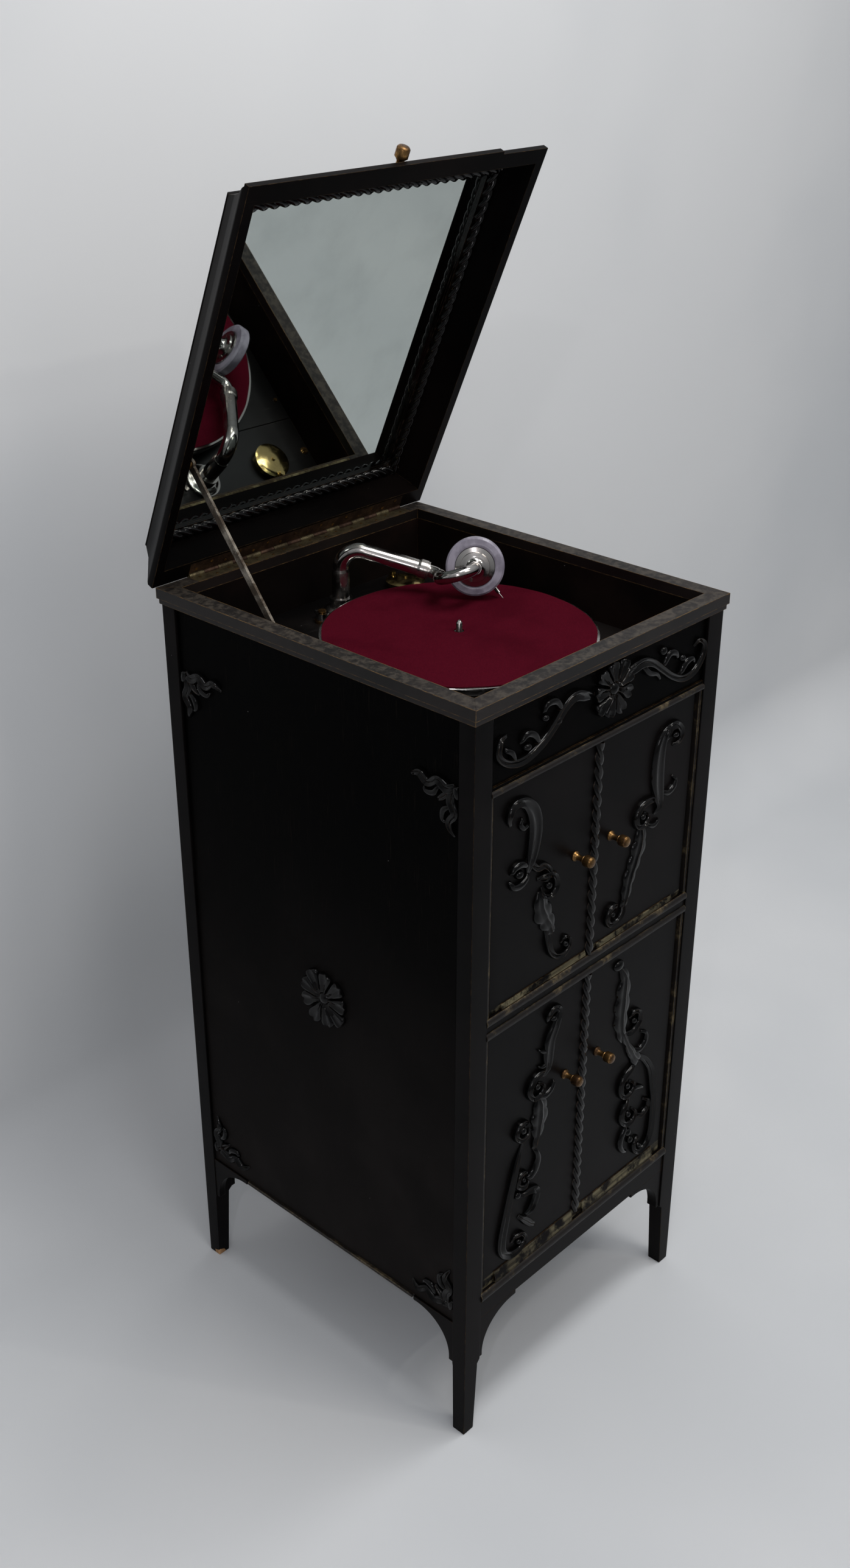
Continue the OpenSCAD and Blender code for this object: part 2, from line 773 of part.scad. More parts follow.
module carving_lower_right() {
    carving_lower(-door_mid_x, lower_right_strokes);
}

// three twisted strands, cut in half along the door face
module rope(z0, z1) {
    turn = 3 * rope_w;
    strand = rope_w / 4;
    intersection() {
        translate([meet_x - rope_w / 2, front_y, z0])
            linear_extrude(height = z1 - z0, twist = -360 * (z1 - z0) / turn,
                slices = round((z1 - z0) / 4.5)) {
                for (k = [0 : 2]) {
                    rotate(120 * k) translate([strand, 0]) circle(r = strand, $fn = 8);
                }
            }
        span([meet_x - rope_w, front_y - rope_w, z0], [meet_x, front_y, z1]);
    }
}

module rope_upper() {
    color("#2a1d14") rope(upper_z0, upper_z1);
}

module rope_lower() {
    color("#2a1d14") rope(lower_z0 + 12, lower_z1);
}

// turned knob: collar, waist and chamfered head
module turned_knob(len, head) {
    waist = spline([[head * 0.62, len * 0.14, 0], [head * 0.5, len * 0.26, 0],
        [head * 0.52, len * 0.4, 0], [head * 0.84, len * 0.52, 0]], 4);
    rotate_extrude() polygon(concat([[0, 0], [head * 0.92, 0], [head * 0.92, len * 0.09]],
        [for (q = waist) [q[0], q[1]]],
        [[head, len * 0.56], [head, len * 0.9], [head * 0.84, len * 0.96], [head * 0.5, len], [0, len]]));
}

module door_knob(x, z) {
    color("#b08d3c") translate([x, front_y, z]) rotate([90, 0, 0]) turned_knob(knob_l, knob_r);
}

module knob_upper_left() {
    door_knob(-34, upper_mid_z + 6);
}

module knob_upper_right() {
    door_knob(26, upper_mid_z + 6);
}

module knob_lower_left() {
    door_knob(-34, lower_mid_z + 54);
}

module knob_lower_right() {
    door_knob(24, lower_mid_z + 54);
}

module door_pins() {
    color("#a3854a") union() {
        for (sx = [-1, 1], z = [low_rail_z, mid_top_z]) {
            translate([sx * pivot_x, pivot_y, z - 10]) cylinder(h = 10 + door_gap + 8, r = door_pin_r);
        }
        for (sx = [-1, 1], z = [mid_rail_z, top_rail_z]) {
            translate([sx * pivot_x, pivot_y, z - door_gap - 8])
                cylinder(h = 10 + door_gap + 8, r = door_pin_r);
        }
    }
}

// ---------- lid ----------

// puts a piece drawn on the closed lid (x, distance from hinge, height) in its open place
module on_lid() {
    translate([0, hinge_y, hinge_z]) rotate([-lid_open, 0, 0]) mirror([0, 1, 0]) children();
}

// outer profile of a lid wall: inset at a height
outer_side = [[0, lid_gap], [0, 8], [1.5, 11], [5, 16], [9, 22], [15, 31], [20, lid_wall_h]];
outer_front = [[0, lid_gap], [0, 7], [3, 10], [9, 14], [14, 18], [22, 29], [30, lid_wall_h]];
inner_side = [[12, lid_gap], [12, 14], [24, 34], [24, lid_wall_h]];
inner_front = [[16.5, lid_gap], [16.5, 12], [34, 34], [34, lid_wall_h]];
inner_back = [[20, lid_gap], [20, 14], [26, 34], [26, lid_wall_h]];

function rev(p) = [for (i = [len(p) - 1 : -1 : 0]) p[i]];

// solid between two side profiles and the front and back profiles
module hip(sides, front, back, grow) {
    s1 = lid_d;
    s0 = lid_back;
    intersection() {
        translate([0, s1 + 5, 0]) rotate([90, 0, 0]) linear_extrude(height = s1 + 10)
            polygon(concat([for (q = sides) [lid_x - q[0], q[1] + grow_at(q, sides, grow)]],
                rev([for (q = sides) [q[0] - lid_x, q[1] + grow_at(q, sides, grow)]])));
        translate([-lid_x - 5, 0, 0]) rotate([90, 0, 90]) linear_extrude(height = lid_w + 10)
            polygon(concat([for (q = front) [s1 - q[0], q[1] + grow_at(q, front, grow)]],
                rev([for (q = back) [s0 + q[0], q[1] + grow_at(q, back, grow)]])));
    }
}

// lengthens the ends of a profile so that a cut passes right through
function grow_at(q, list, grow) = q == list[0] ? -grow : (q == list[len(list) - 1] ? grow : 0);

module lid_frame() {
    color("#1d1714") on_lid() difference() {
        union() {
            hip(outer_side, outer_front, outer_side, 0);
            // edge strip along the front, its right end missing
            span([-lid_x, lid_d - 2, lid_gap], [lid_x * 0.66, lid_d + 3, 7]);
        }
        hip(inner_side, inner_front, inner_back, 1);
        // seat of the hinge
        span([hinge_x0, -2, lid_gap - 1], [hinge_x0 + hinge_l, leaf_w, lid_gap + leaf_t]);
        translate([hinge_x0, 0, 0]) cyl_x(knuckle_r + 0.3, hinge_l);
    }
}

top_in_s0 = lid_back + 20;
top_in_s1 = lid_d - 30;
mirror_x = lid_x - 24;
mirror_s0 = lid_back + 26;
mirror_s1 = lid_d - 34;
glass_t = 2.5;

module lid_top() {
    z = lid_wall_h;
    color("#1d1714") on_lid() difference() {
        span([-lid_x + 20, top_in_s0, z], [lid_x - 20, top_in_s1, z + lid_top_t]);
        for (a = [0 : 1]) {
            mirror([a, 0, 0]) translate([lid_x - 20, 0, z + lid_top_t]) rotate([0, 45, 0])
                cube([3, 3 * lid_d, 3], center = true);
        }
    }
}

module mirror_glass() {
    color("#9aa4a6") on_lid() span([-mirror_x, mirror_s0, lid_wall_h - glass_t],
        [mirror_x, mirror_s1, lid_wall_h]);
}

module mirror_rope() {
    r = 4.5;
    z = lid_wall_h - glass_t;
    color("#2a1d14") on_lid() intersection() {
        difference() {
            union() {
                for (sx = [-1, 1]) {
                    translate([sx * (mirror_x - r), mirror_s0, z - r]) cyl_y(r, mirror_s1 - mirror_s0);
                }
                for (s = [mirror_s0 + r, mirror_s1 - r]) {
                    translate([-mirror_x, s, z - r]) cyl_x(r, 2 * mirror_x);
                }
                span([-mirror_x, mirror_s0, z - r], [mirror_x, mirror_s1, z]);
            }
            span([-mirror_x + 2 * r, mirror_s0 + 2 * r, z - 3 * r], [mirror_x - 2 * r,
                mirror_s1 - 2 * r, z + 1]);
        }
        span([-mirror_x, mirror_s0, z - 3 * r], [mirror_x, mirror_s1, z]);
    }
}

module lid_knob() {
    color("#241a14") on_lid() difference() {
        translate([0, lid_d - 12, 16]) rotate([-90, 0, 0]) turned_knob(26, 7);
        hip(outer_side, outer_front, outer_side, 0);
    }
}

// boss and pin of the stay, trimmed to the slope of the wall
module lid_fittings() {
    color("#a68a3a") on_lid() intersection() {
        union() {
            translate([-lid_x, stay_s, stay_t]) cyl_x(5, lid_x + stay_x - 0.2);
            translate([-lid_x, stay_s, stay_t]) cyl_x(2.5, lid_x + stay_x + stay_bar_t + 2.5);
            translate([stay_x + stay_bar_t + 0.3, stay_s, stay_t]) cyl_x(4, 2.2);
        }
        hip(inner_side, inner_front, inner_back, 1);
    }
}

hinge_parts = 16;
hinge_step = hinge_l / hinge_parts;

module hinge_leaf_case() {
    color("#a68a3a") translate([0, hinge_y, hinge_z]) union() {
        span([hinge_x0, -leaf_w, -0.5 - leaf_t], [hinge_x0 + hinge_l, -knuckle_r - 0.4, -0.5]);
        for (k = [0 : 2 : hinge_parts - 1]) {
            translate([hinge_x0 + k * hinge_step + 0.25, 0, 0]) cyl_x(knuckle_r, hinge_step - 0.5);
            span([hinge_x0 + k * hinge_step + 0.25, -knuckle_r - 0.5, -0.5 - leaf_t],
                [hinge_x0 + (k + 1) * hinge_step - 0.25, 0, -0.5]);
        }
        translate([hinge_x0, 0, 0]) cyl_x(1.2, hinge_l);
    }
}

module hinge_leaf_lid() {
    color("#a68a3a") on_lid() difference() {
        union() {
            span([hinge_x0, knuckle_r + 0.4, lid_gap], [hinge_x0 + hinge_l, leaf_w, lid_gap + leaf_t]);
            for (k = [1 : 2 : hinge_parts - 1]) {
                translate([hinge_x0 + k * hinge_step + 0.25, 0, 0]) cyl_x(knuckle_r, hinge_step - 0.5);
                span([hinge_x0 + k * hinge_step + 0.25, 0, lid_gap],
                    [hinge_x0 + (k + 1) * hinge_step - 0.25, knuckle_r + 0.5, lid_gap + leaf_t]);
            }
        }
        translate([hinge_x0 - 1, 0, 0]) cyl_x(1.2 + run_fit, hinge_l + 2);
    }
}

// pivot of the stay on the open lid
stay_y = hinge_y - stay_s * cos(lid_open) + stay_t * sin(lid_open);
stay_z = hinge_z + stay_s * sin(lid_open) + stay_t * cos(lid_open);
stay_dir = 180 + asin((stay_z - board_z - stay_up) / stay_l);
stay_end = [stay_x, stay_y + stay_l * cos(stay_dir), stay_z + stay_l * sin(stay_dir)];

module lid_stay() {
    color("#8f8a80") difference() {
        translate([stay_x, stay_y, stay_z]) rotate([stay_dir, 0, 0]) {
            span([0, 0, -4], [stay_bar_t, stay_l, 4]);
            for (y = [0, stay_l]) {
                translate([0, y, 0]) cyl_x(6.5, stay_bar_t);
            }
        }
        translate([stay_x - 1, stay_y, stay_z]) cyl_x(2.5 + run_fit, stay_bar_t + 2);
        translate([stay_x - 1, stay_end[1], stay_end[2]]) cyl_x(3, stay_bar_t + 2);
    }
}

// ---------- fittings ----------

module board_screw(x, y, r) {
    translate([x, y, board_z]) difference() {
        cylinder(h = 2, r1 = r, r2 = r * 0.7);
        translate([-r, -0.5, 1.2]) cube([2 * r, 1, 2]);
    }
}

module case_fittings() {
    color("#b09a5a") union() {
        // keeper of the lid stay on the side of the well
        translate([-well_x, stay_end[1], stay_end[2]]) {
            cyl_x(7, 0.6);
            cyl_x(2.8, well_x + stay_x - stay_clear);
        }
        // bush and plate of the crank
        difference() {
            union() {
                translate([pan_x - 6, crank_y, crank_z]) cyl_x(arbor_r + 2, 16);
                translate([pan_x + panel_t, crank_y, crank_z]) cyl_x(14, 2);
            }
            translate([pan_x - 10, crank_y, crank_z]) cyl_x(arbor_r + run_fit, 30);
        }
        // post of the brake
        translate([brake_x, brake_y, board_z]) {
            cylinder(h = 3, r = 9);
            cylinder(h = 12, r = 3);
            translate([0, 0, 12]) cylinder(h = 2, r = 4.5);
        }
        board_screw(178, 160, 5.5);
        board_screw(178, 84, 3);
        board_screw(-176, 160, 3.5);
        board_screw(-176, -196, 3.5);
        board_screw(176, -196, 3.5);
    }
}

motor_plate_z = board_under - 8;
cheek_x0 = 66;
barrel_l = 50;
barrel_r = 33;

module motor_frame() {
    color("#7d7f80") difference() {
        union() {
            span([-60, crank_y - 50, motor_plate_z], [140, crank_y + 50, motor_plate_z + 4]);
            for (x = [-50, 130], y = [-40, 40]) {
                translate([x, crank_y + y, motor_plate_z]) cylinder(h = 8, r = 6);
            }
            for (x = [cheek_x0 - 4, cheek_x0 + barrel_l]) {
                span([x, crank_y - 22, crank_z - 22], [x + 4, crank_y + 22, motor_plate_z + 1]);
            }
            // footstep bearing of the spindle
            span([spin_x - 16, spin_y - 26, motor_plate_z - 60], [spin_x - 12, spin_y + 26, motor_plate_z]);
            span([spin_x - 16, spin_y - 10, motor_plate_z - 64], [spin_x + 14, spin_y + 10,
                motor_plate_z - 58]);
        }
        translate([spin_x, spin_y, motor_plate_z - 1]) cylinder(h = 6, r = spindle_r + run_fit);
        translate([spin_x, spin_y, motor_plate_z - 61]) cylinder(h = 10, r = spindle_r + run_fit);
        translate([cheek_x0 - 10, crank_y, crank_z]) cyl_x(arbor_r + run_fit, barrel_l + 20);
    }
}

module spring_barrel() {
    color("#8b8d8e") difference() {
        translate([cheek_x0 + end_fit, crank_y, crank_z]) cyl_x(barrel_r, barrel_l - 2 * end_fit);
        translate([cheek_x0 - 1, crank_y, crank_z]) cyl_x(arbor_r + run_fit, barrel_l + 2);
        // open hollow of the drum, seen from the crank's side
        translate([cheek_x0 + 10, crank_y, crank_z]) difference() {
            cyl_x(barrel_r - 3, barrel_l);
            cyl_x(arbor_r + 4, barrel_l);
        }
    }
}

module crank() {
    x0 = cheek_x0 - 8;
    x1 = 214;
    color("#9c9d9c") union() {
        translate([x0, crank_y, crank_z]) cyl_x(arbor_r, x1 + 8 - x0);
        translate([x1, crank_y, crank_z]) cyl_x(9, 8);
        span([x1, crank_y - 5, crank_z - crank_arm], [x1 + 8, crank_y + 5, crank_z]);
        translate([x1, crank_y, crank_z - crank_arm]) cyl_x(8, 8);
        translate([x1, crank_y, crank_z - crank_arm]) cyl_x(3.5, 8 + 66);
        translate([x1 + 8 + 64, crank_y, crank_z - crank_arm]) cyl_x(5, 3);
    }
}

module crank_grip() {
    len = 63;
    grip = spline([[6, 0, 0], [9, 6, 0], [8, 20, 0], [10.5, 42, 0], [9.5, 58, 0], [6, 63, 0]], 5);
    color("#1a1210") translate([222 + 0.5, crank_y, crank_z - crank_arm]) rotate([0, 90, 0])
        difference() {
            rotate_extrude() polygon(concat([[0, 0]], [for (q = grip) [q[0], q[1]]], [[0, len]]));
            translate([0, 0, -1]) cylinder(h = len + 2, r = 3.5 + run_fit);
        }
}

// ---------- turntable ----------

module spindle() {
    color("#c9c9c6") translate([spin_x, spin_y, 0]) union() {
        translate([0, 0, motor_plate_z - 61 + end_fit])
            cylinder(h = platter_z - 1 - (motor_plate_z - 61 + end_fit), r = spindle_r);
        translate([0, 0, platter_z - 1]) cylinder(h = 1, r1 = spindle_r, r2 = nose_r);
        // nose that takes the hole of a record
        translate([0, 0, platter_z]) cylinder(h = spindle_top - 3 - platter_z, r = nose_r);
        translate([0, 0, spindle_top - 3]) cylinder(h = 3, r1 = nose_r, r2 = 1.5);
        translate([0, 0, board_z + 3]) cylinder(h = 7, r = 9);
    }
}

module platter() {
    low = board_z + 10;
    color("#cfd0cf") translate([spin_x, spin_y, 0]) rotate_extrude($fn = 96) polygon([
        [spindle_r, low], [20, low], [20, platter_z - 5], [platter_r - 8, platter_z - 4],
        [platter_r - 6, low], [platter_r - 2.5, low], [platter_r - 2.5, low + 8],
        [platter_r - 0.5, low + 8.5], [platter_r, low + 9.5], [platter_r, platter_z - 1.5],
        [platter_r - 1, platter_z], [hub_r, platter_z], [hub_r, platter_z - 1],
        [spindle_r, platter_z - 1]]);
}

module felt() {
    color("#6d1526") translate([spin_x, spin_y, platter_z]) difference() {
        cylinder(h = felt_t, r = platter_r - 3.5, $fn = 96);
        translate([0, 0, -1]) cylinder(h = felt_t + 2, r = hub_r - 0.5);
    }
}

brake_reach = norm([brake_x - spin_x, brake_y - spin_y]) - platter_r;
brake_dir = atan2(spin_y - brake_y, spin_x - brake_x);

module brake_lever() {
    reach = brake_reach - 0.8;
    color("#c4c5c3") translate([brake_x, brake_y, board_z + 3 + end_fit]) rotate([0, 0, brake_dir])
        difference() {
            union() {
                cylinder(h = 8, r = 7.5);
                span([0, -3, 2], [reach - 4, 3, 7]);
                span([reach - 5, -6, 0], [reach, 6, 9]);
                rotate([0, 0, 150]) span([0, -2.5, 2], [16, 2.5, 6]);
            }
            translate([0, 0, -1]) cylinder(h = 12, r = 3 + run_fit);
        }
}

// ---------- tonearm ----------

// frame of the arm: x along the arm, z up, origin on the pivot at the board
module on_arm() {
    translate([riser_x, riser_y, board_z]) rotate([0, 0, arm_dir]) children();
}

module tonearm_base() {
    color("#c6c8c6") translate([riser_x, riser_y, 0]) difference() {
        union() {
            translate([0, 0, board_z]) cylinder(h = 4, r = 22);
            translate([0, 0, board_z + 4]) cylinder(h = 3, r1 = 20, r2 = 14);
            translate([0, 0, board_z]) cylinder(h = 18, r = riser_r + 3);
            translate([0, 0, board_under]) cylinder(h = board_t, r = 12);
        }
        translate([0, 0, board_z + 6]) cylinder(h = 20, r = riser_r + run_fit);
        translate([0, 0, board_under - 1]) cylinder(h = 60, r = 7);
    }
}

// the arm bend and the sloping tube, r in radius, its end extra millimetres longer
module arm_tube(r, extra) {
    translate([0, 0, arm_rise - arm_bend]) {
        band(r);
        bend(arm_bend, 90 + arm_slope, r);
        past_bend(arm_bend, 90 + arm_slope) {
            band(r);
            cylinder(h = sloped + extra, r = r);
        }
    }
}

sloped = (arm_l - arm_bend - arm_bend * sin(arm_slope)) / cos(arm_slope);
collar_x = arm_l;
collar_z = arm_rise - arm_bend + arm_bend * cos(arm_slope) - sloped * sin(arm_slope);
spigot_l = 6;

module at_collar() {
    translate([collar_x, 0, collar_z]) rotate([0, 90 + arm_slope, 0]) children();
}

module tonearm() {
    base = 6 + 0.1;
    top = arm_rise - arm_bend;
    color("#cdd0cf") on_arm() difference() {
        union() {
            rotate_extrude() polygon([[0, base], [riser_r, base], [riser_r, top - 4],
                [arm_r + 2 * band_up, top], [0, top]]);
            arm_tube(arm_r, 0);
            at_collar() cylinder(h = collar_l, r = collar_r);
            at_collar() translate([0, 0, -3]) cylinder(h = 3.5, r1 = arm_r + band_up, r2 = collar_r - 0.3);
        }
        arm_tube(arm_r - 1.8, 1);
        translate([0, 0, base - 1]) cylinder(h = top - base + 1, r = arm_r - 1.8);
        at_collar() translate([0, 0, 1]) cylinder(h = collar_l, r = goose_r + run_fit);
    }
}

// the frame at the start of the gooseneck's first bend
module at_neck() {
    at_collar() translate([0, 0, collar_l + end_fit + flange_t]) rotate([0, 0, neck_roll_1]) children();
}

// the frame between the two bends
module at_run() {
    at_neck() past_bend(neck_r_1, neck_bend_1) children();
}

// the frame at the end of the second bend
module at_neck_end() {
    at_run() translate([0, 0, neck_run]) rotate([0, 0, neck_roll_2]) past_bend(neck_r_2, neck_bend_2)
        children();
}

// frame of the soundbox: z out of its back towards the gooseneck, x along the record
module on_box() {
    at_neck_end() translate([0, 0, neck_l]) rotate([180, 0, 0]) rotate([0, 0, box_roll]) children();
}

// the bent tube, r in radius, with its ends extra millimetres longer
module neck_tube(r, extra) {
    at_neck() bend(neck_r_1, neck_bend_1, r);
    at_neck() band(r);
    at_run() band(r);
    at_run() cylinder(h = neck_run, r = r);
    at_run() translate([0, 0, neck_run]) band(r);
    at_run() translate([0, 0, neck_run]) rotate([0, 0, neck_roll_2]) bend(neck_r_2, neck_bend_2, r);
    if (extra > 0) {
        at_neck_end() band(r);
    }
}

module gooseneck() {
    color("#cdd0cf") on_arm() difference() {
        union() {
            at_collar() translate([0, 0, collar_l - spigot_l])
                cylinder(h = spigot_l + end_fit + 1, r = goose_r);
            at_collar() translate([0, 0, collar_l + end_fit])
                cylinder(h = flange_t, r = collar_r - 0.8);
            neck_tube(goose_r, 0);
        }
        neck_tube(goose_r - 1.6, 1);
        at_collar() translate([0, 0, collar_l - spigot_l - 1])
            cylinder(h = spigot_l + end_fit + flange_t + 1.2, r = goose_r - 1.6 + band_up / 2);
    }
}

module soundbox() {
    color("#d4d6d5") on_arm() on_box() difference() {
        union() {
            rotate_extrude($fn = 64) polygon([[0, -11], [28, -11], [29, -10], [29, -4], [22.5, -4],
                [22.5, 2], [22, 5], [17, 6], [16.5, 8], [10.5, 9], [goose_r + 1.5, 10.5],
                [goose_r + 0.5, 13], [goose_r + 0.5, neck_l], [0, neck_l]]);
        }
        // air space before the diaphragm
        translate([0, 0, -9]) cylinder(h = 6, r = 20);
        translate([0, 0, -4]) cylinder(h = neck_l + 5, r = goose_r - 1.6);
        translate([0, 0, -12]) cylinder(h = 2, r = 18);
    }
}

module soundbox_rim() {
    color("#8d8796") on_arm() on_box() rotate_extrude($fn = 64) polygon([[29, -9], [box_r - 1, -9],
        [box_r, -8], [box_r, 1], [box_r - 2, 3], [24, 4], [22.6, 3.4], [22.6, -4], [29, -4]]);
}

needle_dir = [cos(48), -sin(48), 0];

// a tapering round bar between two points
module spike(p, q, r1, r2) {
    d = q - p;
    translate(p) rotate([0, acos(d[2] / norm(d)), atan2(d[1], d[0])])
        cylinder(h = norm(d), r1 = r1, r2 = r2);
}

// stylus bar, clamp and needle on the front of the soundbox
module needle() {
    bar = [0, 0, -13.2];
    color("#d8d8d8") on_arm() on_box() union() {
        rod(bar, needle_dir * 36 + bar, 1.5);
        translate([0, 0, -14.5]) cylinder(h = 4.5, r = 2);
        rod(needle_dir * (box_r + 1.8) + [0, 0, -12.5], needle_dir * (box_r + 8) + [0, 0, -9], 2.2);
        spike(needle_dir * (box_r + 7) + [0, 0, -9.6], needle_dir * 48.2 + [0, 0, -7], 0.8, 0.3);
    }
}

module needle_cup() {
    color("#b8924a") translate([cup_x, cup_y, board_z]) difference() {
        union() {
            cylinder(h = 8, r = cup_r);
            translate([0, cup_r, 0]) cylinder(h = 8, r = 4);
            translate([0, cup_r, 0]) cylinder(h = 14, r = 1.5);
            translate([0, cup_r, 11.5]) cylinder(h = 2.5, r = 3.2);
        }
        translate([0, 0, 1.5]) cylinder(h = 20, r = cup_r - 2.5);
    }
}

module cup_lid() {
    r = cup_r + 2.5;
    top = spline([[r, 0.6, 0], [r * 0.8, 2.2, 0], [r * 0.45, 3.4, 0], [6, 3.8, 0], [0, 4, 0]], 4);
    color("#b8924a") translate([cup_x, cup_y, board_z + 8 + end_fit]) difference() {
        union() {
            rotate_extrude($fn = 64) polygon(concat([[0, 1], [r - 2, 0], [r, 0]],
                [for (q = top) [q[0], q[1]]]));
            translate([0, cup_r, 0]) cylinder(h = 2.6, r = 5);
            translate([0, 0, 3]) cylinder(h = 3, r = 2.5);
        }
        translate([0, cup_r, -1]) cylinder(h = 10, r = 1.5 + run_fit);
        translate([0, cup_r, 2.6]) cylinder(h = 10, r = 4);
    }
}

// ---------- which nodes to draw ----------

post_front_left();
post_front_right();
post_back_left();
post_back_right();
side_panel_left();
side_panel_right();
back_panel();
apron();
mid_rail();
bottom_rail();
mouldings();
brackets();
top_rim();
well_lining();
motor_board();
rear_board();
inner_boards();
sound_horn();
case_carvings();
door_upper_left();
door_upper_right();
door_lower_left();
door_lower_right();
carving_upper_left();
carving_upper_right();
carving_lower_left();
carving_lower_right();
rope_upper();
rope_lower();
knob_upper_left();
knob_upper_right();
knob_lower_left();
knob_lower_right();
door_pins();
lid_frame();
lid_top();
mirror_glass();
mirror_rope();
lid_knob();
lid_fittings();
hinge_leaf_case();
hinge_leaf_lid();
lid_stay();
case_fittings();
motor_frame();
spring_barrel();
crank();
crank_grip();
spindle();
platter();
felt();
brake_lever();
tonearm_base();
tonearm();
gooseneck();
soundbox();
soundbox_rim();
needle();
needle_cup();
cup_lid();
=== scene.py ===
import logging
import math
from dataclasses import dataclass, field, replace
from enum import Enum
from typing import Callable, Optional, Sequence, Union

import bmesh
import bpy
from mathutils import Matrix, Vector

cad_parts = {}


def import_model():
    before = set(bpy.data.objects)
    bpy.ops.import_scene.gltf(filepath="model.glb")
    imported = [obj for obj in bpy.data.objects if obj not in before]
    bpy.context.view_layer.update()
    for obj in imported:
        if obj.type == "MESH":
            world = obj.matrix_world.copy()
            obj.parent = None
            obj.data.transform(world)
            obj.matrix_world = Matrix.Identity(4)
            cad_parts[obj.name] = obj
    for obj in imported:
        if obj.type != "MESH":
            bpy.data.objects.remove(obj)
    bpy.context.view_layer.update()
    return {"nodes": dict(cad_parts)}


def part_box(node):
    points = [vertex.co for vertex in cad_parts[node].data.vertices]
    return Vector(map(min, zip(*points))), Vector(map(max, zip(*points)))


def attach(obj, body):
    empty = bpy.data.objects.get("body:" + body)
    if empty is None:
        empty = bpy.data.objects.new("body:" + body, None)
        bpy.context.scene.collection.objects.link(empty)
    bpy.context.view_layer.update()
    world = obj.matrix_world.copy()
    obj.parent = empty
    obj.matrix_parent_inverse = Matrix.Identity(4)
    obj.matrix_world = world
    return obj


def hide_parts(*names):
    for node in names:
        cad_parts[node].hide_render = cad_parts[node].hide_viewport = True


LOG = logging.getLogger("gramophone_cabinet")
MM = 0.001
DOORS = ("upper_left", "upper_right", "lower_left", "lower_right")
# stretch of a noise that gives two tones about equal shares
EVEN = (0.35, 0.65)
Colour = tuple[float, float, float, float]
Value = Union["Sock", float, Sequence[float]]
Point = tuple[float, float, float]


def paint(code: str) -> Colour:
    """Turns a written colour into linear light.

    Args:
        code: six hexadecimal digits, red, green and blue.

    Returns:
        The colour with full alpha.
    """
    parts = [int(code[i:i + 2], 16) / 255 for i in (0, 2, 4)]
    lit = [p / 12.92 if p <= 0.04045 else ((p + 0.055) / 1.055) ** 2.4 for p in parts]
    return lit[0], lit[1], lit[2], 1.0


def turns(count: int) -> list[float]:
    """Angles of count even steps round a circle, in radians."""
    return [math.tau * k / count for k in range(count)]


# ---------- shader building ----------


def maths(operation: str, swapped: bool = False) -> Callable[["Sock", Value], "Sock"]:
    """Makes one operator of Sock.

    Args:
        operation: the operation of the Math node that it adds.
        swapped: whether the other value comes first.

    Returns:
        The method.
    """
    def apply(self: "Sock", other: Value) -> "Sock":
        """Adds the Math node and returns its result."""
        first, second = (other, self) if swapped else (self, other)
        return self.graph.node("ShaderNodeMath", {"operation": operation}, {0: first, 1: second})

    return apply


class Sock:
    """One output of a shader node. Arithmetic on it adds Math nodes."""

    __add__, __radd__ = maths("ADD"), maths("ADD", True)
    __sub__, __rsub__ = maths("SUBTRACT"), maths("SUBTRACT", True)
    __mul__, __rmul__ = maths("MULTIPLY"), maths("MULTIPLY", True)
    __gt__, __lt__ = maths("GREATER_THAN"), maths("LESS_THAN")

    def __init__(self, graph: "Graph", socket: bpy.types.NodeSocket) -> None:
        """Keeps the graph and the socket that it belongs to."""
        self.graph = graph
        self.socket = socket

    def between(self, low: float, high: float, start: float = 0.0, end: float = 1.0) -> "Sock":
        """Spreads the stretch from low to high softly over start to end, held at both ends.

        Args:
            low: the value that becomes start.
            high: the value that becomes end.
            start: the first result.
            end: the last result.

        Returns:
            The spread value.
        """
        return self.graph.node("ShaderNodeMapRange", {"interpolation_type": "SMOOTHSTEP"},
                               {0: self, 1: low, 2: high, 3: start, 4: end})


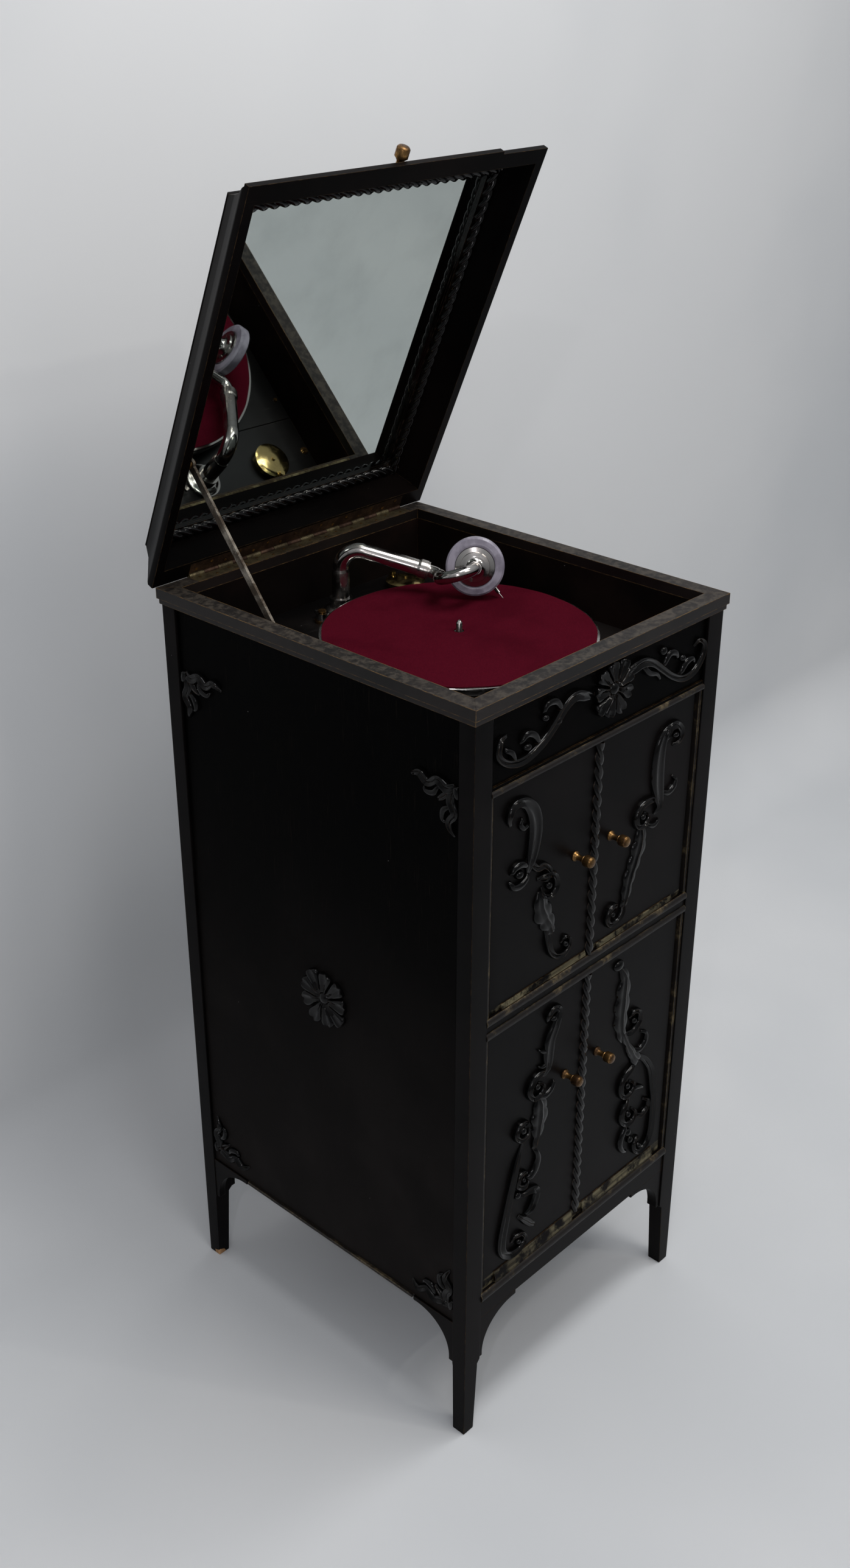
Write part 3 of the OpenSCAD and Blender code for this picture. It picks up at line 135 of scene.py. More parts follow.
class Graph:
    """The node tree of one material or of the world."""

    def __init__(self, owner: Union[bpy.types.Material, bpy.types.World],
                 shader: str = "Principled BSDF") -> None:
        """Turns on the owner's nodes, which start as one shader and its output.

        Args:
            owner: the material or world.
            shader: the name of that shader.
        """
        owner.use_nodes = True
        self.owner = owner
        self.tree = owner.node_tree
        self.shader = self.tree.nodes[shader]

    def node(self, kind: str, settings: Optional[dict] = None, inputs: Optional[dict] = None,
             out: Union[int, str] = 0) -> Sock:
        """Adds one node.

        Args:
            kind: the node's type.
            settings: attributes, set first.
            inputs: values or links by socket index or name.
            out: the output that is returned.

        Returns:
            That output.
        """
        made = self.tree.nodes.new(kind)
        for key, value in (settings or {}).items():
            setattr(made, key, value)
        for key, value in (inputs or {}).items():
            self.feed(made.inputs[key], value)
        return Sock(self, made.outputs[out])

    def feed(self, socket: bpy.types.NodeSocket, value: Value) -> None:
        """Links or sets one input.

        Args:
            socket: the input.
            value: a Sock to link, or a number or colour to set.
        """
        if isinstance(value, Sock):
            self.tree.links.new(value.socket, socket)
        else:
            socket.default_value = value

    def surface(self, **inputs: Value) -> Union[bpy.types.Material, bpy.types.World]:
        """Feeds the shader.

        Args:
            inputs: values by socket name, with _ for a space.

        Returns:
            The finished material or world.
        """
        for key, value in inputs.items():
            self.feed(self.shader.inputs[key.replace("_", " ")], value)
        return self.owner

    def one_sided(self) -> None:
        """Leaves the back of the surface clear, so that it shows from its front alone."""
        clear = self.node("ShaderNodeBsdfTransparent")
        back = self.node("ShaderNodeNewGeometry", out="Backfacing")
        both = self.node("ShaderNodeMixShader", None,
                         {0: back, 1: Sock(self, self.shader.outputs["BSDF"]), 2: clear})
        self.feed(self.tree.nodes["Material Output"].inputs["Surface"], both)

    def place(self, stretch: Sequence[float] = (1.0, 1.0, 1.0)) -> Sock:
        """Position on the piece in metres, scaled along the axes."""
        spot = self.node("ShaderNodeTexCoord", out="Object")
        return self.node("ShaderNodeVectorMath", {"operation": "MULTIPLY"}, {0: spot, 1: stretch})

    def noise(self, where: Sock, scale: float, detail: float = 3.0, rough: float = 0.55) -> Sock:
        """Soft random value about 0.5.

        Args:
            where: the position that it follows.
            scale: how fine it is.
            detail: octaves.
            rough: weight of the fine octaves.

        Returns:
            The value.
        """
        return self.node("ShaderNodeTexNoise", None,
                         {"Vector": where, "Scale": scale, "Detail": detail, "Roughness": rough})

    def specks(self, where: Sock, scale: float, size: float, patches: float, full: float) -> Sock:
        """Small round specks in scattered patches.

        Args:
            where: the position that they follow.
            scale: how close the specks lie.
            size: their size, as a share of a cell.
            patches: how fine the patches are.
            full: the patch noise, above 0.6, at which the specks are full.

        Returns:
            1 on a speck, else 0.
        """
        cell = self.node("ShaderNodeTexVoronoi", None, {"Vector": where, "Scale": scale}, "Distance")
        return (cell < size) * self.noise(where, patches, 2).between(0.6, full)

    def mix(self, share: Value, first: Value, second: Value) -> Sock:
        """Mixes two colours by a share of 0 to 1."""
        return self.node("ShaderNodeMix", {"data_type": "RGBA"}, {0: share, 6: first, 7: second}, 2)

    def edge(self, radius: float) -> Sock:
        """Value that rises on outer and inner corners.

        Args:
            radius: how far from the corner it reaches, in metres.

        Returns:
            0 on open faces, up to about 1 on a square corner.
        """
        soft = self.node("ShaderNodeBevel", {"samples": 4}, {"Radius": radius})
        true = self.node("ShaderNodeNewGeometry", out="Normal")
        match = self.node("ShaderNodeVectorMath", {"operation": "DOT_PRODUCT"}, {0: soft, 1: true}, "Value")
        return (1 - match) * 4

    def axis(self, vector: Sock, name: str) -> Sock:
        """One part, X, Y or Z, of a vector."""
        return self.node("ShaderNodeSeparateXYZ", None, {0: vector}, name)

    def bump(self, height: Sock, depth: float, strength: float) -> Sock:
        """Relief for the Normal input.

        Args:
            height: height from 0 to 1.
            depth: its depth in metres.
            strength: how strongly it shows.

        Returns:
            The bent normal.
        """
        return self.node("ShaderNodeBump", None,
                         {"Height": height, "Distance": depth, "Strength": strength})


# ---------- finishes ----------


class Grain(Enum):
    """Way the pores of the wood run, as a stretch along the axes."""

    UPRIGHT = (1.0, 1.0, 0.035)
    ACROSS = (0.035, 1.0, 1.0)
    NONE = (1.0, 1.0, 1.0)


@dataclass(frozen=True)
class Finish:
    """A finish, by the name of its material."""

    name: str

    def start(self) -> tuple[Graph, Sock]:
        """Makes the empty material and gives the position on the piece."""
        graph = Graph(bpy.data.materials.new(self.name))
        return graph, graph.place()


@dataclass(frozen=True)
class Lacquer(Finish):
    """Black lacquer over stained wood, rubbed through on its corners.

    Places and heights are in metres. Between the heights of paler_below the clouding fades out upwards,
    so the lacquer is paler towards the bottom; the strip between the heights of rubbed is rubbed through,
    and chip is the middle of a chip.
    """

    ground: Colour = paint("050404")
    cloud: Colour = paint("0e0b0b")
    worn: Colour = paint("5f4a30")
    pore_tone: Colour = paint("1d1814")
    grain: Grain = Grain.UPRIGHT
    gloss: float = 0.3
    bend: float = 1.13
    chip: Optional[Point] = None
    chip_reach: float = 0.0125
    chip_ragged: float = 0.008
    paler_below: Optional[tuple[float, float]] = None
    rubbed: Optional[tuple[float, float]] = None
    wear: float = 0.5
    wear_reach: float = 1.3 * MM
    pores: float = 0.35
    dust: float = 0.6

    def material(self) -> bpy.types.Material:
        """Builds the material.

        Returns:
            Lacquer with clouding, open pores, rubbed corners and a few specks of dust.
        """
        g, where = self.start()
        flow = g.place(self.grain.value)
        cloud = g.noise(where, 7.0, 4)
        streak = g.noise(flow, 150.0, 3)
        fibre = g.noise(flow, 900.0, 2, 0.7)
        pore = fibre.between(0.6, 0.72) * streak.between(0.4, 0.62)
        veil = cloud.between(0.38, 0.7)
        # paler towards the bottom: between these heights the clouding fades out upwards
        if self.paler_below:
            veil = (veil * 0.4 + 0.6) * (1.0 - g.axis(where, "Z").between(*self.paler_below))
        tone = g.mix(veil, self.ground, self.cloud)
        tone = g.mix(pore * self.pores, tone, self.pore_tone)
        rub = g.noise(where, 55.0, 5, 0.7)
        edge = g.edge(self.wear_reach)
        worn = (edge * (rub.between(0.3, 0.75) + self.wear - 0.35)).between(0.35, 0.8)
        bare = g.mix(g.noise(where, 210.0, 3).between(*EVEN), self.worn, paint("241810"))
        tone = g.mix(worn * 0.9, tone, bare)
        if self.rubbed:
            low, high = self.rubbed
            height = g.axis(where, "Z")
            strip = (height > low) * (height < high) * rub.between(0.42, 0.6)
            wood = g.mix(streak.between(*EVEN), paint("6d6650"), paint("2c271e"))
            tone = g.mix(strip * 0.8, tone, wood)
        speck = g.specks(where, 62.0, 0.032, 23.0, 0.66) * self.dust
        tone = g.mix(speck, tone, paint("8f8d8a"))
        if self.chip:
            away = g.node("ShaderNodeVectorMath", {"operation": "DISTANCE"}, {0: where, 1: self.chip},
                          "Value")
            raw = (away + g.noise(where, 160.0, 3) * self.chip_ragged) < self.chip_reach
            tone = g.mix(raw, tone, g.mix(streak.between(0.4, 0.6), paint("b08a63"), paint("8d6a48")))
        rough = (cloud * 0.46 + 1.0) * self.gloss + pore * 0.2 + worn * 0.25 + speck * 0.3
        skin = g.noise(where, 420.0, 2)
        relief = skin * 0.25 + streak * 0.25 - pore * 0.8 * self.pores - worn * 0.5
        return g.surface(Base_Color=tone, Roughness=rough, Normal=g.bump(relief, 0.22 * MM, 0.5),
                         IOR=self.bend)


@dataclass(frozen=True)
class RubbedRimWithPaintedToplight(Finish):
    """Lacquer whose upper faces are grey: partly rubbed by hands and the closing lid, partly painted light
    from above.
    """

    def material(self) -> bpy.types.Material:
        """Builds the material.

        Returns:
            Lacquer, grey-brown on the upper faces (part rubbing, part painted light from above) and
            gold-brown at the corners.
        """
        g, where = self.start()
        cloud = g.noise(where, 9.0, 4)
        fine = g.noise(where, 120.0, 5, 0.7)
        # upward faces are painted grey-brown in patches: part rubbing, part painted light from above
        up = g.axis(g.node("ShaderNodeNewGeometry", out="Normal"), "Z").between(0.5, 0.95)
        tone = g.mix(cloud.between(0.35, 0.7), paint("0c0a09"), paint("1a1513"))
        rubbed_and_toplit_grey = g.mix(fine.between(*EVEN), paint("221e1b"), paint("3c362f"))
        tone = g.mix(up * fine.between(0.36, 0.62) * 0.8, tone, rubbed_and_toplit_grey)
        edge = g.edge(1.8 * MM)
        worn = (edge * (g.noise(where, 38.0, 5, 0.7).between(0.25, 0.7) + 0.25)).between(0.35, 0.85)
        tone = g.mix(worn, tone, g.mix(fine.between(0.4, 0.6), paint("7d6139"), paint("3a2a1b")))
        speck = g.specks(where, 70.0, 0.04, 31.0, 0.65)
        tone = g.mix(speck * 0.7, tone, paint("a9a7a3"))
        rough = 0.36 + up * 0.18 + cloud * 0.1 + worn * 0.2
        return g.surface(Base_Color=tone, Roughness=rough,
                         Normal=g.bump(fine * 0.5 - worn * 0.5, 0.2 * MM, 0.5), IOR=1.3)


@dataclass(frozen=True)
class RubbedMoulding(Finish):
    """Small moulding whose crest is rubbed through to golden brown wood."""

    amount: float = 0.45

    def material(self) -> bpy.types.Material:
        """Builds the material.

        Returns:
            Patches of black lacquer and bare wood.
        """
        g, where = self.start()
        patch = g.noise(where, 26.0, 5, 0.75)
        fine = g.noise(where, 190.0, 4, 0.7)
        bare = g.mix(fine.between(*EVEN), paint("6f6247"), paint("33281a"))
        edge = g.edge(2.2 * MM)
        share = patch.between(0.42, 0.66) * self.amount + edge * patch.between(0.3, 0.6) * 0.6
        share = share.between(0.18, 0.75)
        tone = g.mix(share, paint("120e0c"), bare)
        return g.surface(Base_Color=tone, Roughness=0.42 + fine * 0.2,
                         Normal=g.bump(fine - share, 0.25 * MM, 0.5), IOR=1.3)


@dataclass(frozen=True)
class Metal(Finish):
    """Plated or solid metal with tarnish, fine wear and pits."""

    bright: Colour
    tarnish: Colour
    tarnish_share: float = 0.2
    gloss: float = 0.15
    patch: float = 40.0
    pits: float = 0.3
    relief: float = 0.4

    def material(self) -> bpy.types.Material:
        """Builds the metal.

        Returns:
            Metal whose tarnish gathers in patches.
        """
        g, where = self.start()
        broad = g.noise(where, self.patch, 4, 0.65)
        fine = g.noise(where, 700.0, 3, 0.6)
        dull = (broad + fine * 0.3 + self.tarnish_share).between(0.62, 1.0)
        tone = g.mix(dull, self.bright, self.tarnish)
        pit = g.noise(where, 1500.0, 2).between(0.66, 0.72) * self.pits
        tone = g.mix(pit, tone, self.tarnish)
        rough = self.gloss + dull * 0.25 + fine * 0.15 * self.relief + pit * 0.2
        return g.surface(Base_Color=tone, Roughness=rough, Metallic=1.0 - dull * 0.12,
                         Normal=g.bump(fine * 0.4 - pit, 0.05 * MM, self.relief))


@dataclass(frozen=True)
class Felt(Finish):
    """Crimson wool felt: short matted fibres with slightly rubbed patches."""

    def material(self) -> bpy.types.Material:
        """Builds the cloth.

        Returns:
            Cloth of crossed fibre noise at two scales, with lint.
        """
        g, where = self.start()
        matt = g.noise(where, 1800.0, 4, 0.8)
        tuft = g.noise(where, 380.0, 4, 0.75)
        patch = g.noise(where, 14.0, 4)
        tone = g.mix(matt.between(0.3, 0.7), paint("2b040f"), paint("4f0e1b"))
        tone = g.mix(patch.between(0.4, 0.72) * 0.45, tone, paint("2c040c"))
        lint = g.noise(where, 950.0, 2, 0.9).between(0.74, 0.8)
        tone = g.mix(lint * 0.4, tone, paint("8a5560"))
        return g.surface(Base_Color=tone, Roughness=0.93 + matt * 0.05,
                         Normal=g.bump(matt * 0.6 + tuft * 0.6, 0.6 * MM, 0.8), IOR=1.05)


@dataclass(frozen=True)
class Rubber(Finish):
    """Aged grey rubber with a faint lavender bloom."""

    def material(self) -> bpy.types.Material:
        """Builds the rubber.

        Returns:
            Rubber with bloom and small scuffs.
        """
        g, where = self.start()
        bloom = g.noise(where, 60.0, 4)
        fine = g.noise(where, 600.0, 3)
        tone = g.mix(bloom.between(*EVEN), paint("67626e"), paint("87828e"))
        return g.surface(Base_Color=tone, Roughness=0.36 + bloom * 0.2,
                         Normal=g.bump(fine, 0.08 * MM, 0.4), Coat_Weight=0.2)


@dataclass(frozen=True)
class Silvering(Finish):
    """Old mirror glass: clear in the middle, a little foxed."""

    def material(self) -> bpy.types.Material:
        """Builds the mirror.

        Returns:
            Silvering with foxing specks and a faint haze.
        """
        g, where = self.start()
        haze = g.noise(where, 18.0, 4)
        fox = g.noise(where, 260.0, 4, 0.8).between(0.74, 0.78) * haze.between(0.5, 0.7)
        tone = g.mix(haze.between(0.4, 0.8), paint("c0c7c3"), paint("b6bdb9"))
        tone = g.mix(fox, tone, paint("3a352f"))
        return g.surface(Base_Color=tone, Roughness=0.012 + fox * 0.3 + haze * 0.01, Metallic=1.0)


@dataclass(frozen=True)
class Paper(Finish):
    """Pale matt paper of the studio, seen from its front alone."""

    light: Colour = paint("c9cacb")
    dark: Colour = paint("bfc1c3")

    def material(self) -> bpy.types.Material:
        """Builds the paper.

        Returns:
            Paper with soft clouding and small scuffs.
        """
        g, where = self.start()
        cloud = g.noise(where, 1.1, 3)
        scuff = (g.noise(where, 38.0, 5, 0.8).between(0.68, 0.75)
                 * g.noise(where, 5.0, 2).between(0.55, 0.66))
        tone = g.mix(cloud.between(*EVEN), self.light, self.dark)
        tone = g.mix(scuff * 0.22, tone, paint("9a9690"))
        g.one_sided()
        return g.surface(Base_Color=tone, Roughness=0.75 + cloud * 0.1,
                         Normal=g.bump(g.noise(where, 90.0, 3), 0.2 * MM, 0.3))


@dataclass
class Finishes:
    """Every finish of the cabinet, built once."""

    made: dict[str, bpy.types.Material] = field(default_factory=dict)

    def __post_init__(self) -> None:
        """Builds all materials."""
        across = Lacquer("ebonised_wood_across", grain=Grain.ACROSS, wear=0.6)
        carved = Lacquer("carved_lacquer", ground=paint("020202"), cloud=paint("080707"),
                         worn=paint("3b3025"), gloss=0.07, grain=Grain.NONE, pores=0.1, wear=0.35,
                         wear_reach=1.6 * MM, dust=1.0, bend=1.27)
        book = {
            "ebony": Lacquer("ebonised_wood"),
            "ebony_across": across,
            "side": Lacquer("open_grained_side", pores=0.6, gloss=0.33, ground=paint("020202"),
                            cloud=paint("201d1c"), paler_below=(0.1, 0.82), bend=1.07),
            "upper_door": replace(across, name="upper_door_lacquer", rubbed=(0.57, 0.581)),
            "lower_door": replace(across, name="lower_door_lacquer", rubbed=(0.19, 0.2145)),
            "apron": replace(across, name="apron_lacquer", ground=paint("020202"),
                             cloud=paint("060505"), bend=1.07),
            "post": Lacquer("post_lacquer", wear=0.62),
            "foot": Lacquer("chipped_post_lacquer", wear=0.7, chip=(-0.199, 0.209, 0.0)),
            "lid": replace(across, name="lid_lacquer", cloud=paint("0f0b0a"), wear=0.55, bend=1.09),
            "inner": Lacquer("inner_stain", ground=paint("0a0706"), cloud=paint("1a110e"),
                             worn=paint("4a3420"), gloss=0.42, wear=0.3, grain=Grain.ACROSS),
            "board": Lacquer("motor_board_lacquer", cloud=paint("151211"), worn=paint("5c4c31"),
                             gloss=0.26, grain=Grain.ACROSS, wear=0.65, dust=1.0, bend=1.35),
            "carving": carved,
            "rope": replace(carved, name="rope_lacquer", ground=paint("030202"), cloud=paint("090706"),
                            worn=paint("4b3828"), gloss=0.06, wear_reach=1.3 * MM, dust=0.6, bend=1.34),
            "rim": RubbedRimWithPaintedToplight("rim_lacquer"),
            "moulding": RubbedMoulding("rubbed_moulding"),
            "grip": Lacquer("turned_grip", ground=paint("120a08"), cloud=paint("2b1812"), gloss=0.22,
                            grain=Grain.ACROSS, wear=0.3, dust=0.2, bend=1.45),
            "nickel": Metal("nickel_plate", paint("b0aca8"), paint("5a534a"), 0.0, 0.13, pits=0.2,
                            relief=0.04),
            "steel": Metal("oiled_steel", paint("8d8c8a"), paint("3d3a37"), 0.16, 0.3),
            "stay": Metal("worn_stay_bar", paint("8c867c"), paint("41382f"), gloss=0.34, patch=60.0,
                          pits=0.6),
            "brass": Metal("knob_brass", paint("a07a48"), paint("3a2818"), gloss=0.16),
            "lid_brass": Metal("cup_brass", paint("b09c68"), paint("6a5630"), 0.02, 0.12, pits=0.2,
                               relief=0.08),
            "hinge": Metal("tarnished_hinge_brass", paint("8d8263"), paint("3f3628"), 0.22, 0.36,
                           patch=55.0, pits=0.8),
            # the lid's hinge leaf is a darker, browner brass than the case's leaf
            "hinge_lid": Metal("darker_lid_hinge_brass", paint("6b5446"), paint("32241c"), 0.25, 0.34,
                               patch=55.0, pits=0.8),
            "mirror": Silvering("silvered_glass"),
            "felt": Felt("crimson_felt"),
            "rubber": Rubber("flange_rubber"),
        }
        for key, finish in book.items():
            self.made[key] = finish.material()
            LOG.info("finish %s", key)

    def __getitem__(self, key: str) -> bpy.types.Material:
        """The material by its short name."""
        return self.made[key]


# ---------- mesh helpers ----------


def smooth_line(points: Sequence[Sequence[float]], steps: int) -> list[tuple[float, ...]]:
    """Runs a smooth curve through points.

    Args:
        points: the points, of any number of values each.
        steps: stretches between two points.

    Returns:
        The points of the curve.
    """
    line = []
    for i in range(len(points) - 1):
        a, b = points[max(i - 1, 0)], points[i]
        c, d = points[i + 1], points[min(i + 2, len(points) - 1)]
        for k in range(steps):
            t = k / steps
            line.append(tuple(
                0.5 * (2 * q + (r - p) * t + (2 * p - 5 * q + 4 * r - s) * t * t
                       + (3 * q - p - 3 * r + s) * t ** 3)
                for p, q, r, s in zip(a, b, c, d)))
    line.append(tuple(points[-1]))
    return line


def link(name: str, mesh: bpy.types.Mesh, material: bpy.types.Material) -> bpy.types.Object:
    """Puts a mesh in the scene as an object.

    Args:
        name: the object's name.
        mesh: its mesh.
        material: its finish.

    Returns:
        The object.
    """
    obj = bpy.data.objects.new(name, mesh)
    bpy.context.scene.collection.objects.link(obj)
    mesh.materials.append(material)
    LOG.info("piece %s: %d faces", name, len(mesh.polygons))
    return obj


class Shape:
    """A mesh under construction, in millimetres."""

    # least radius of a turned ring, so that it never closes to a point
    TIP = 0.01
    # points nearer than this, in metres, are joined
    WELD = 1e-6

    def __init__(self) -> None:
        """Starts empty."""
        self.verts: list[Point] = []
        self.faces: list[list[int]] = []

    def rings(self, rings: Sequence[Sequence[Point]], looped: bool = False) -> None:
        """Joins rings of points by faces.

        Args:
            rings: rings with the same number of points each.
            looped: whether the last ring joins the first, else both are filled.
        """
        start, n = len(self.verts), len(rings[0])
        for ring in rings:
            self.verts.extend(tuple(p) for p in ring)
        count = len(rings)
        for i in range(count if looped else count - 1):
            a, b = start + i * n, start + ((i + 1) % count) * n
            for k in range(n):
                self.faces.append([a + k, a + (k + 1) % n, b + (k + 1) % n, b + k])
        if not looped:
            self.faces.append([start + k for k in range(n)][::-1])
            self.faces.append([start + (count - 1) * n + k for k in range(n)])

    def lathe(self, outline: Sequence[tuple[float, float]], turn: Matrix, around: int) -> None:
        """Turns an outline of radius and height about Z and places it.

        Args:
            outline: (radius, height) from the bottom centre to the top centre.
            turn: where it goes, in millimetres.
            around: facets round the axis.
        """
        rings = []
        for reach, h in outline:
            r = max(reach, self.TIP)
            rings.append([tuple(turn @ Vector((r * math.cos(a), r * math.sin(a), h)))
                          for a in turns(around)])
        self.rings(rings)

    def object(self, name: str, material: bpy.types.Material, body: str, slot: str,
               sharp: float = 50.0) -> bpy.types.Object:
        """Makes the object and lets it ride on its body.

        Args:
            name: the piece's name.
            material: its finish.
            body: the body that it moves with.
            slot: not used.
            sharp: edges above this angle in degrees stay sharp.

        Returns:
            The object.
        """
        mesh = bpy.data.meshes.new(name)
        build = bmesh.new()
        made = [build.verts.new([c * MM for c in v]) for v in self.verts]
        for f in self.faces:
            build.faces.new([made[i] for i in f])
        bmesh.ops.remove_doubles(build, verts=build.verts, dist=self.WELD)
        bmesh.ops.recalc_face_normals(build, faces=build.faces)
        for face in build.faces:
            face.smooth = True
        build.to_mesh(mesh)
        build.free()
        mesh.set_sharp_from_angle(angle=math.radians(sharp))
        obj = link(name, mesh, material)
        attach(obj, body)
        return obj


# ---------- carving ----------


class Cut(Enum):
    """Cross-section of a carved stroke, as (share of half width, share of height)."""

    GOUGED = ((-1, 0), (-0.96, 0.45), (-0.8, 0.86), (-0.6, 1.0), (-0.38, 0.86), (0, 0.58),
              (0.38, 0.86), (0.6, 1.0), (0.8, 0.86), (0.96, 0.45), (1, 0))
    DOMED = ((-1, 0), (-0.95, 0.35), (-0.8, 0.66), (-0.55, 0.88), (0, 1.0), (0.55, 0.88),
             (0.8, 0.66), (0.95, 0.35), (1, 0))
    LEAF = ((-1, 0), (-0.95, 0.4), (-0.7, 0.72), (-0.4, 0.62), (-0.12, 0.72), (0, 1.0),
            (0.12, 0.72), (0.4, 0.62), (0.7, 0.72), (0.95, 0.4), (1, 0))


@dataclass(frozen=True)
class Stroke:
    """One carved stroke through points (across, up, width)."""

    points: tuple[Point, ...]
    cut: Cut = Cut.GOUGED
    lobes: int = 0
    tall: float = 1.0


@dataclass(frozen=True)
class Bead:
    """A domed bead or bud: centre, half sizes, turn in degrees."""

    u: float
    v: float
    wide: float
    long: float
    turn: float = 0.0
    tall: float = 1.0


class Face(Enum):
    """Side of the cabinet that a carving stands on."""

    FRONT = "front"
    LEFT = "left"
    RIGHT = "right"


@dataclass
class Carving:
    """A carved ornament on one face of the cabinet, whose x or y is plane. Sizes are in millimetres."""

    name: str
    face: Face
    plane: float
    body: str
    strokes: tuple[Stroke, ...]
    beads: tuple[Bead, ...]
    height: float = 5.6
    sink: float = 0.4
    steps: int = 7
    thinnest: float = 0.6
    bead_rings: int = 7
    bead_around: int = 20

    def spot(self, u: float, v: float, h: float) -> Point:
        """Point on the face.

        Args:
            u: across the face.
            v: height above the floor.
            h: height out of the face.

        Returns:
            The point in millimetres.
        """
        if self.face is Face.FRONT:
            return u, self.plane - h, v
        return (self.plane - h, u, v) if self.face is Face.LEFT else (self.plane + h, u, v)

    def ribbon(self, shape: Shape, stroke: Stroke) -> None:
        """Adds one stroke as a closed shell, low at its ends, where it is narrow and between lobes.

        Args:
            shape: the mesh that it joins.
            stroke: the stroke.
        """
        line = smooth_line(stroke.points, self.steps)
        rings = []
        last = len(line) - 1
        for i, (u, v, w) in enumerate(line):
            a, b = line[max(i - 1, 0)], line[min(i + 1, last)]
            du, dv = b[0] - a[0], b[1] - a[1]
            size = math.hypot(du, dv) or 1.0
            du, dv = du / size, dv / size
            share = i / last
            wave = 0.78 + 0.3 * abs(math.sin(math.pi * stroke.lobes * share)) if stroke.lobes else 1.0
            half = max(w, self.thinnest) / 2 * wave
            ease = min(1.0, 6 * share + 0.25, 6 * (1 - share) + 0.25)
            tall = self.height * stroke.tall * ease * min(1.0, 0.5 + w / 16) * (0.7 + 0.3 * wave)
            rings.append([self.spot(u - dv * half * p, v + du * half * p, tall * q if q else -self.sink)
                          for p, q in stroke.cut.value])
        shape.rings(rings)

    def dome(self, shape: Shape, bead: Bead) -> None:
        """Adds one bead as a closed dome.

        Args:
            shape: the mesh that it joins.
            bead: the bead.
        """
        c, s = math.cos(math.radians(bead.turn)), math.sin(math.radians(bead.turn))
        rings = []
        for k in range(self.bead_rings + 1):
            lean = math.radians(90 * k / self.bead_rings)
            out = max(math.cos(lean), 0.02)
            h = math.sin(lean) * self.height * bead.tall if k else -self.sink
            ring = []
            for t in turns(self.bead_around):
                p, q = bead.wide * out * math.cos(t), bead.long * out * math.sin(t)
                ring.append(self.spot(bead.u + p * c - q * s, bead.v + p * s + q * c, h))
            rings.append(ring)
        shape.rings(rings)

    def build(self, finishes: Finishes) -> bpy.types.Object:
        """Carves the ornament.

        Args:
            finishes: the finishes.

        Returns:
            The object.
        """
        shape = Shape()
        for stroke in self.strokes:
            self.ribbon(shape, stroke)
        for bead in self.beads:
            self.dome(shape, bead)
        return shape.object(self.name, finishes["carving"], self.body, "ebonised_wood", 60)


# strokes and beads of the four doors, in millimetres from the middle of the front and the floor
UPPER_LEFT = (
    Stroke(((-141, 787, 4), (-146, 799, 8), (-138, 810, 10), (-122, 807, 14), (-109, 793, 19),
            (-104, 774, 20), (-106, 752, 18), (-111, 735, 13), (-113, 722, 6))),
    Stroke(((-114, 780, 4), (-122, 778, 7), (-127, 784, 6), (-124, 791, 3)), Cut.DOMED, tall=0.8),
    Stroke(((-111, 722, 5), (-124, 714, 9), (-136, 716, 8), (-141, 724, 4)), Cut.DOMED),
    Stroke(((-114, 731, 5), (-124, 738, 9), (-135, 737, 7), (-140, 731, 4)), Cut.DOMED),
    Stroke(((-112, 738, 8), (-101, 724, 9), (-89, 722, 9), (-80, 713, 8), (-84, 704, 6), (-93, 706, 3))),
    Stroke(((-97, 708, 5), (-85, 709, 8), (-71, 703, 9), (-67, 690, 9), (-76, 681, 7), (-88, 686, 6),
            (-89, 696, 3))),
    Stroke(((-92, 692, 8), (-89, 672, 25), (-81, 655, 25), (-74, 641, 17), (-73, 630, 8)), Cut.LEAF, 4),
    Stroke(((-78, 640, 8), (-76, 622, 9), (-72, 610, 9), (-64, 601, 8), (-52, 597, 8), (-42, 602, 6),
            (-40, 611, 5), (-47, 617, 4), (-53, 611, 3))),
)
UPPER_LEFT_BEADS = (Bead(-127, 727, 6, 5), Bead(-79, 694, 5, 5), Bead(-47, 608, 4, 4))
UPPER_RIGHT = (
    Stroke(((119, 787, 4), (115, 795, 8), (122, 804, 11), (134, 803, 11), (142, 793, 9), (139, 783, 6),
            (129, 780, 4))),
    Stroke(((126, 807, 6), (112, 801, 13), (105, 787, 18), (103, 767, 21), (104, 745, 21),
            (107, 727, 17), (109, 714, 10), (104, 704, 5))),
    Stroke(((112, 730, 5), (124, 724, 8), (134, 727, 8), (138, 735, 5), (133, 741, 3)), Cut.DOMED),
    Stroke(((105, 722, 6), (93, 727, 9), (77, 725, 9), (68, 714, 9), (72, 702, 8), (84, 700, 7),
            (91, 708, 5), (84, 714, 3))),
    Stroke(((90, 697, 5), (101, 692, 7), (112, 696, 3)), Cut.DOMED),
    Stroke(((81, 699, 10), (79, 678, 24), (71, 658, 21), (63, 640, 19), (58, 620, 15), (53, 605, 8)),
           Cut.LEAF, 6),
    Stroke(((56, 618, 6), (52, 603, 9), (44, 595, 8), (32, 595, 8), (25, 604, 8), (29, 615, 7),
            (39, 617, 6), (43, 609, 3))),
)
UPPER_RIGHT_BEADS = (Bead(80, 711, 4.5, 4.5), Bead(35, 607, 4, 4), Bead(132, 792, 5, 4))
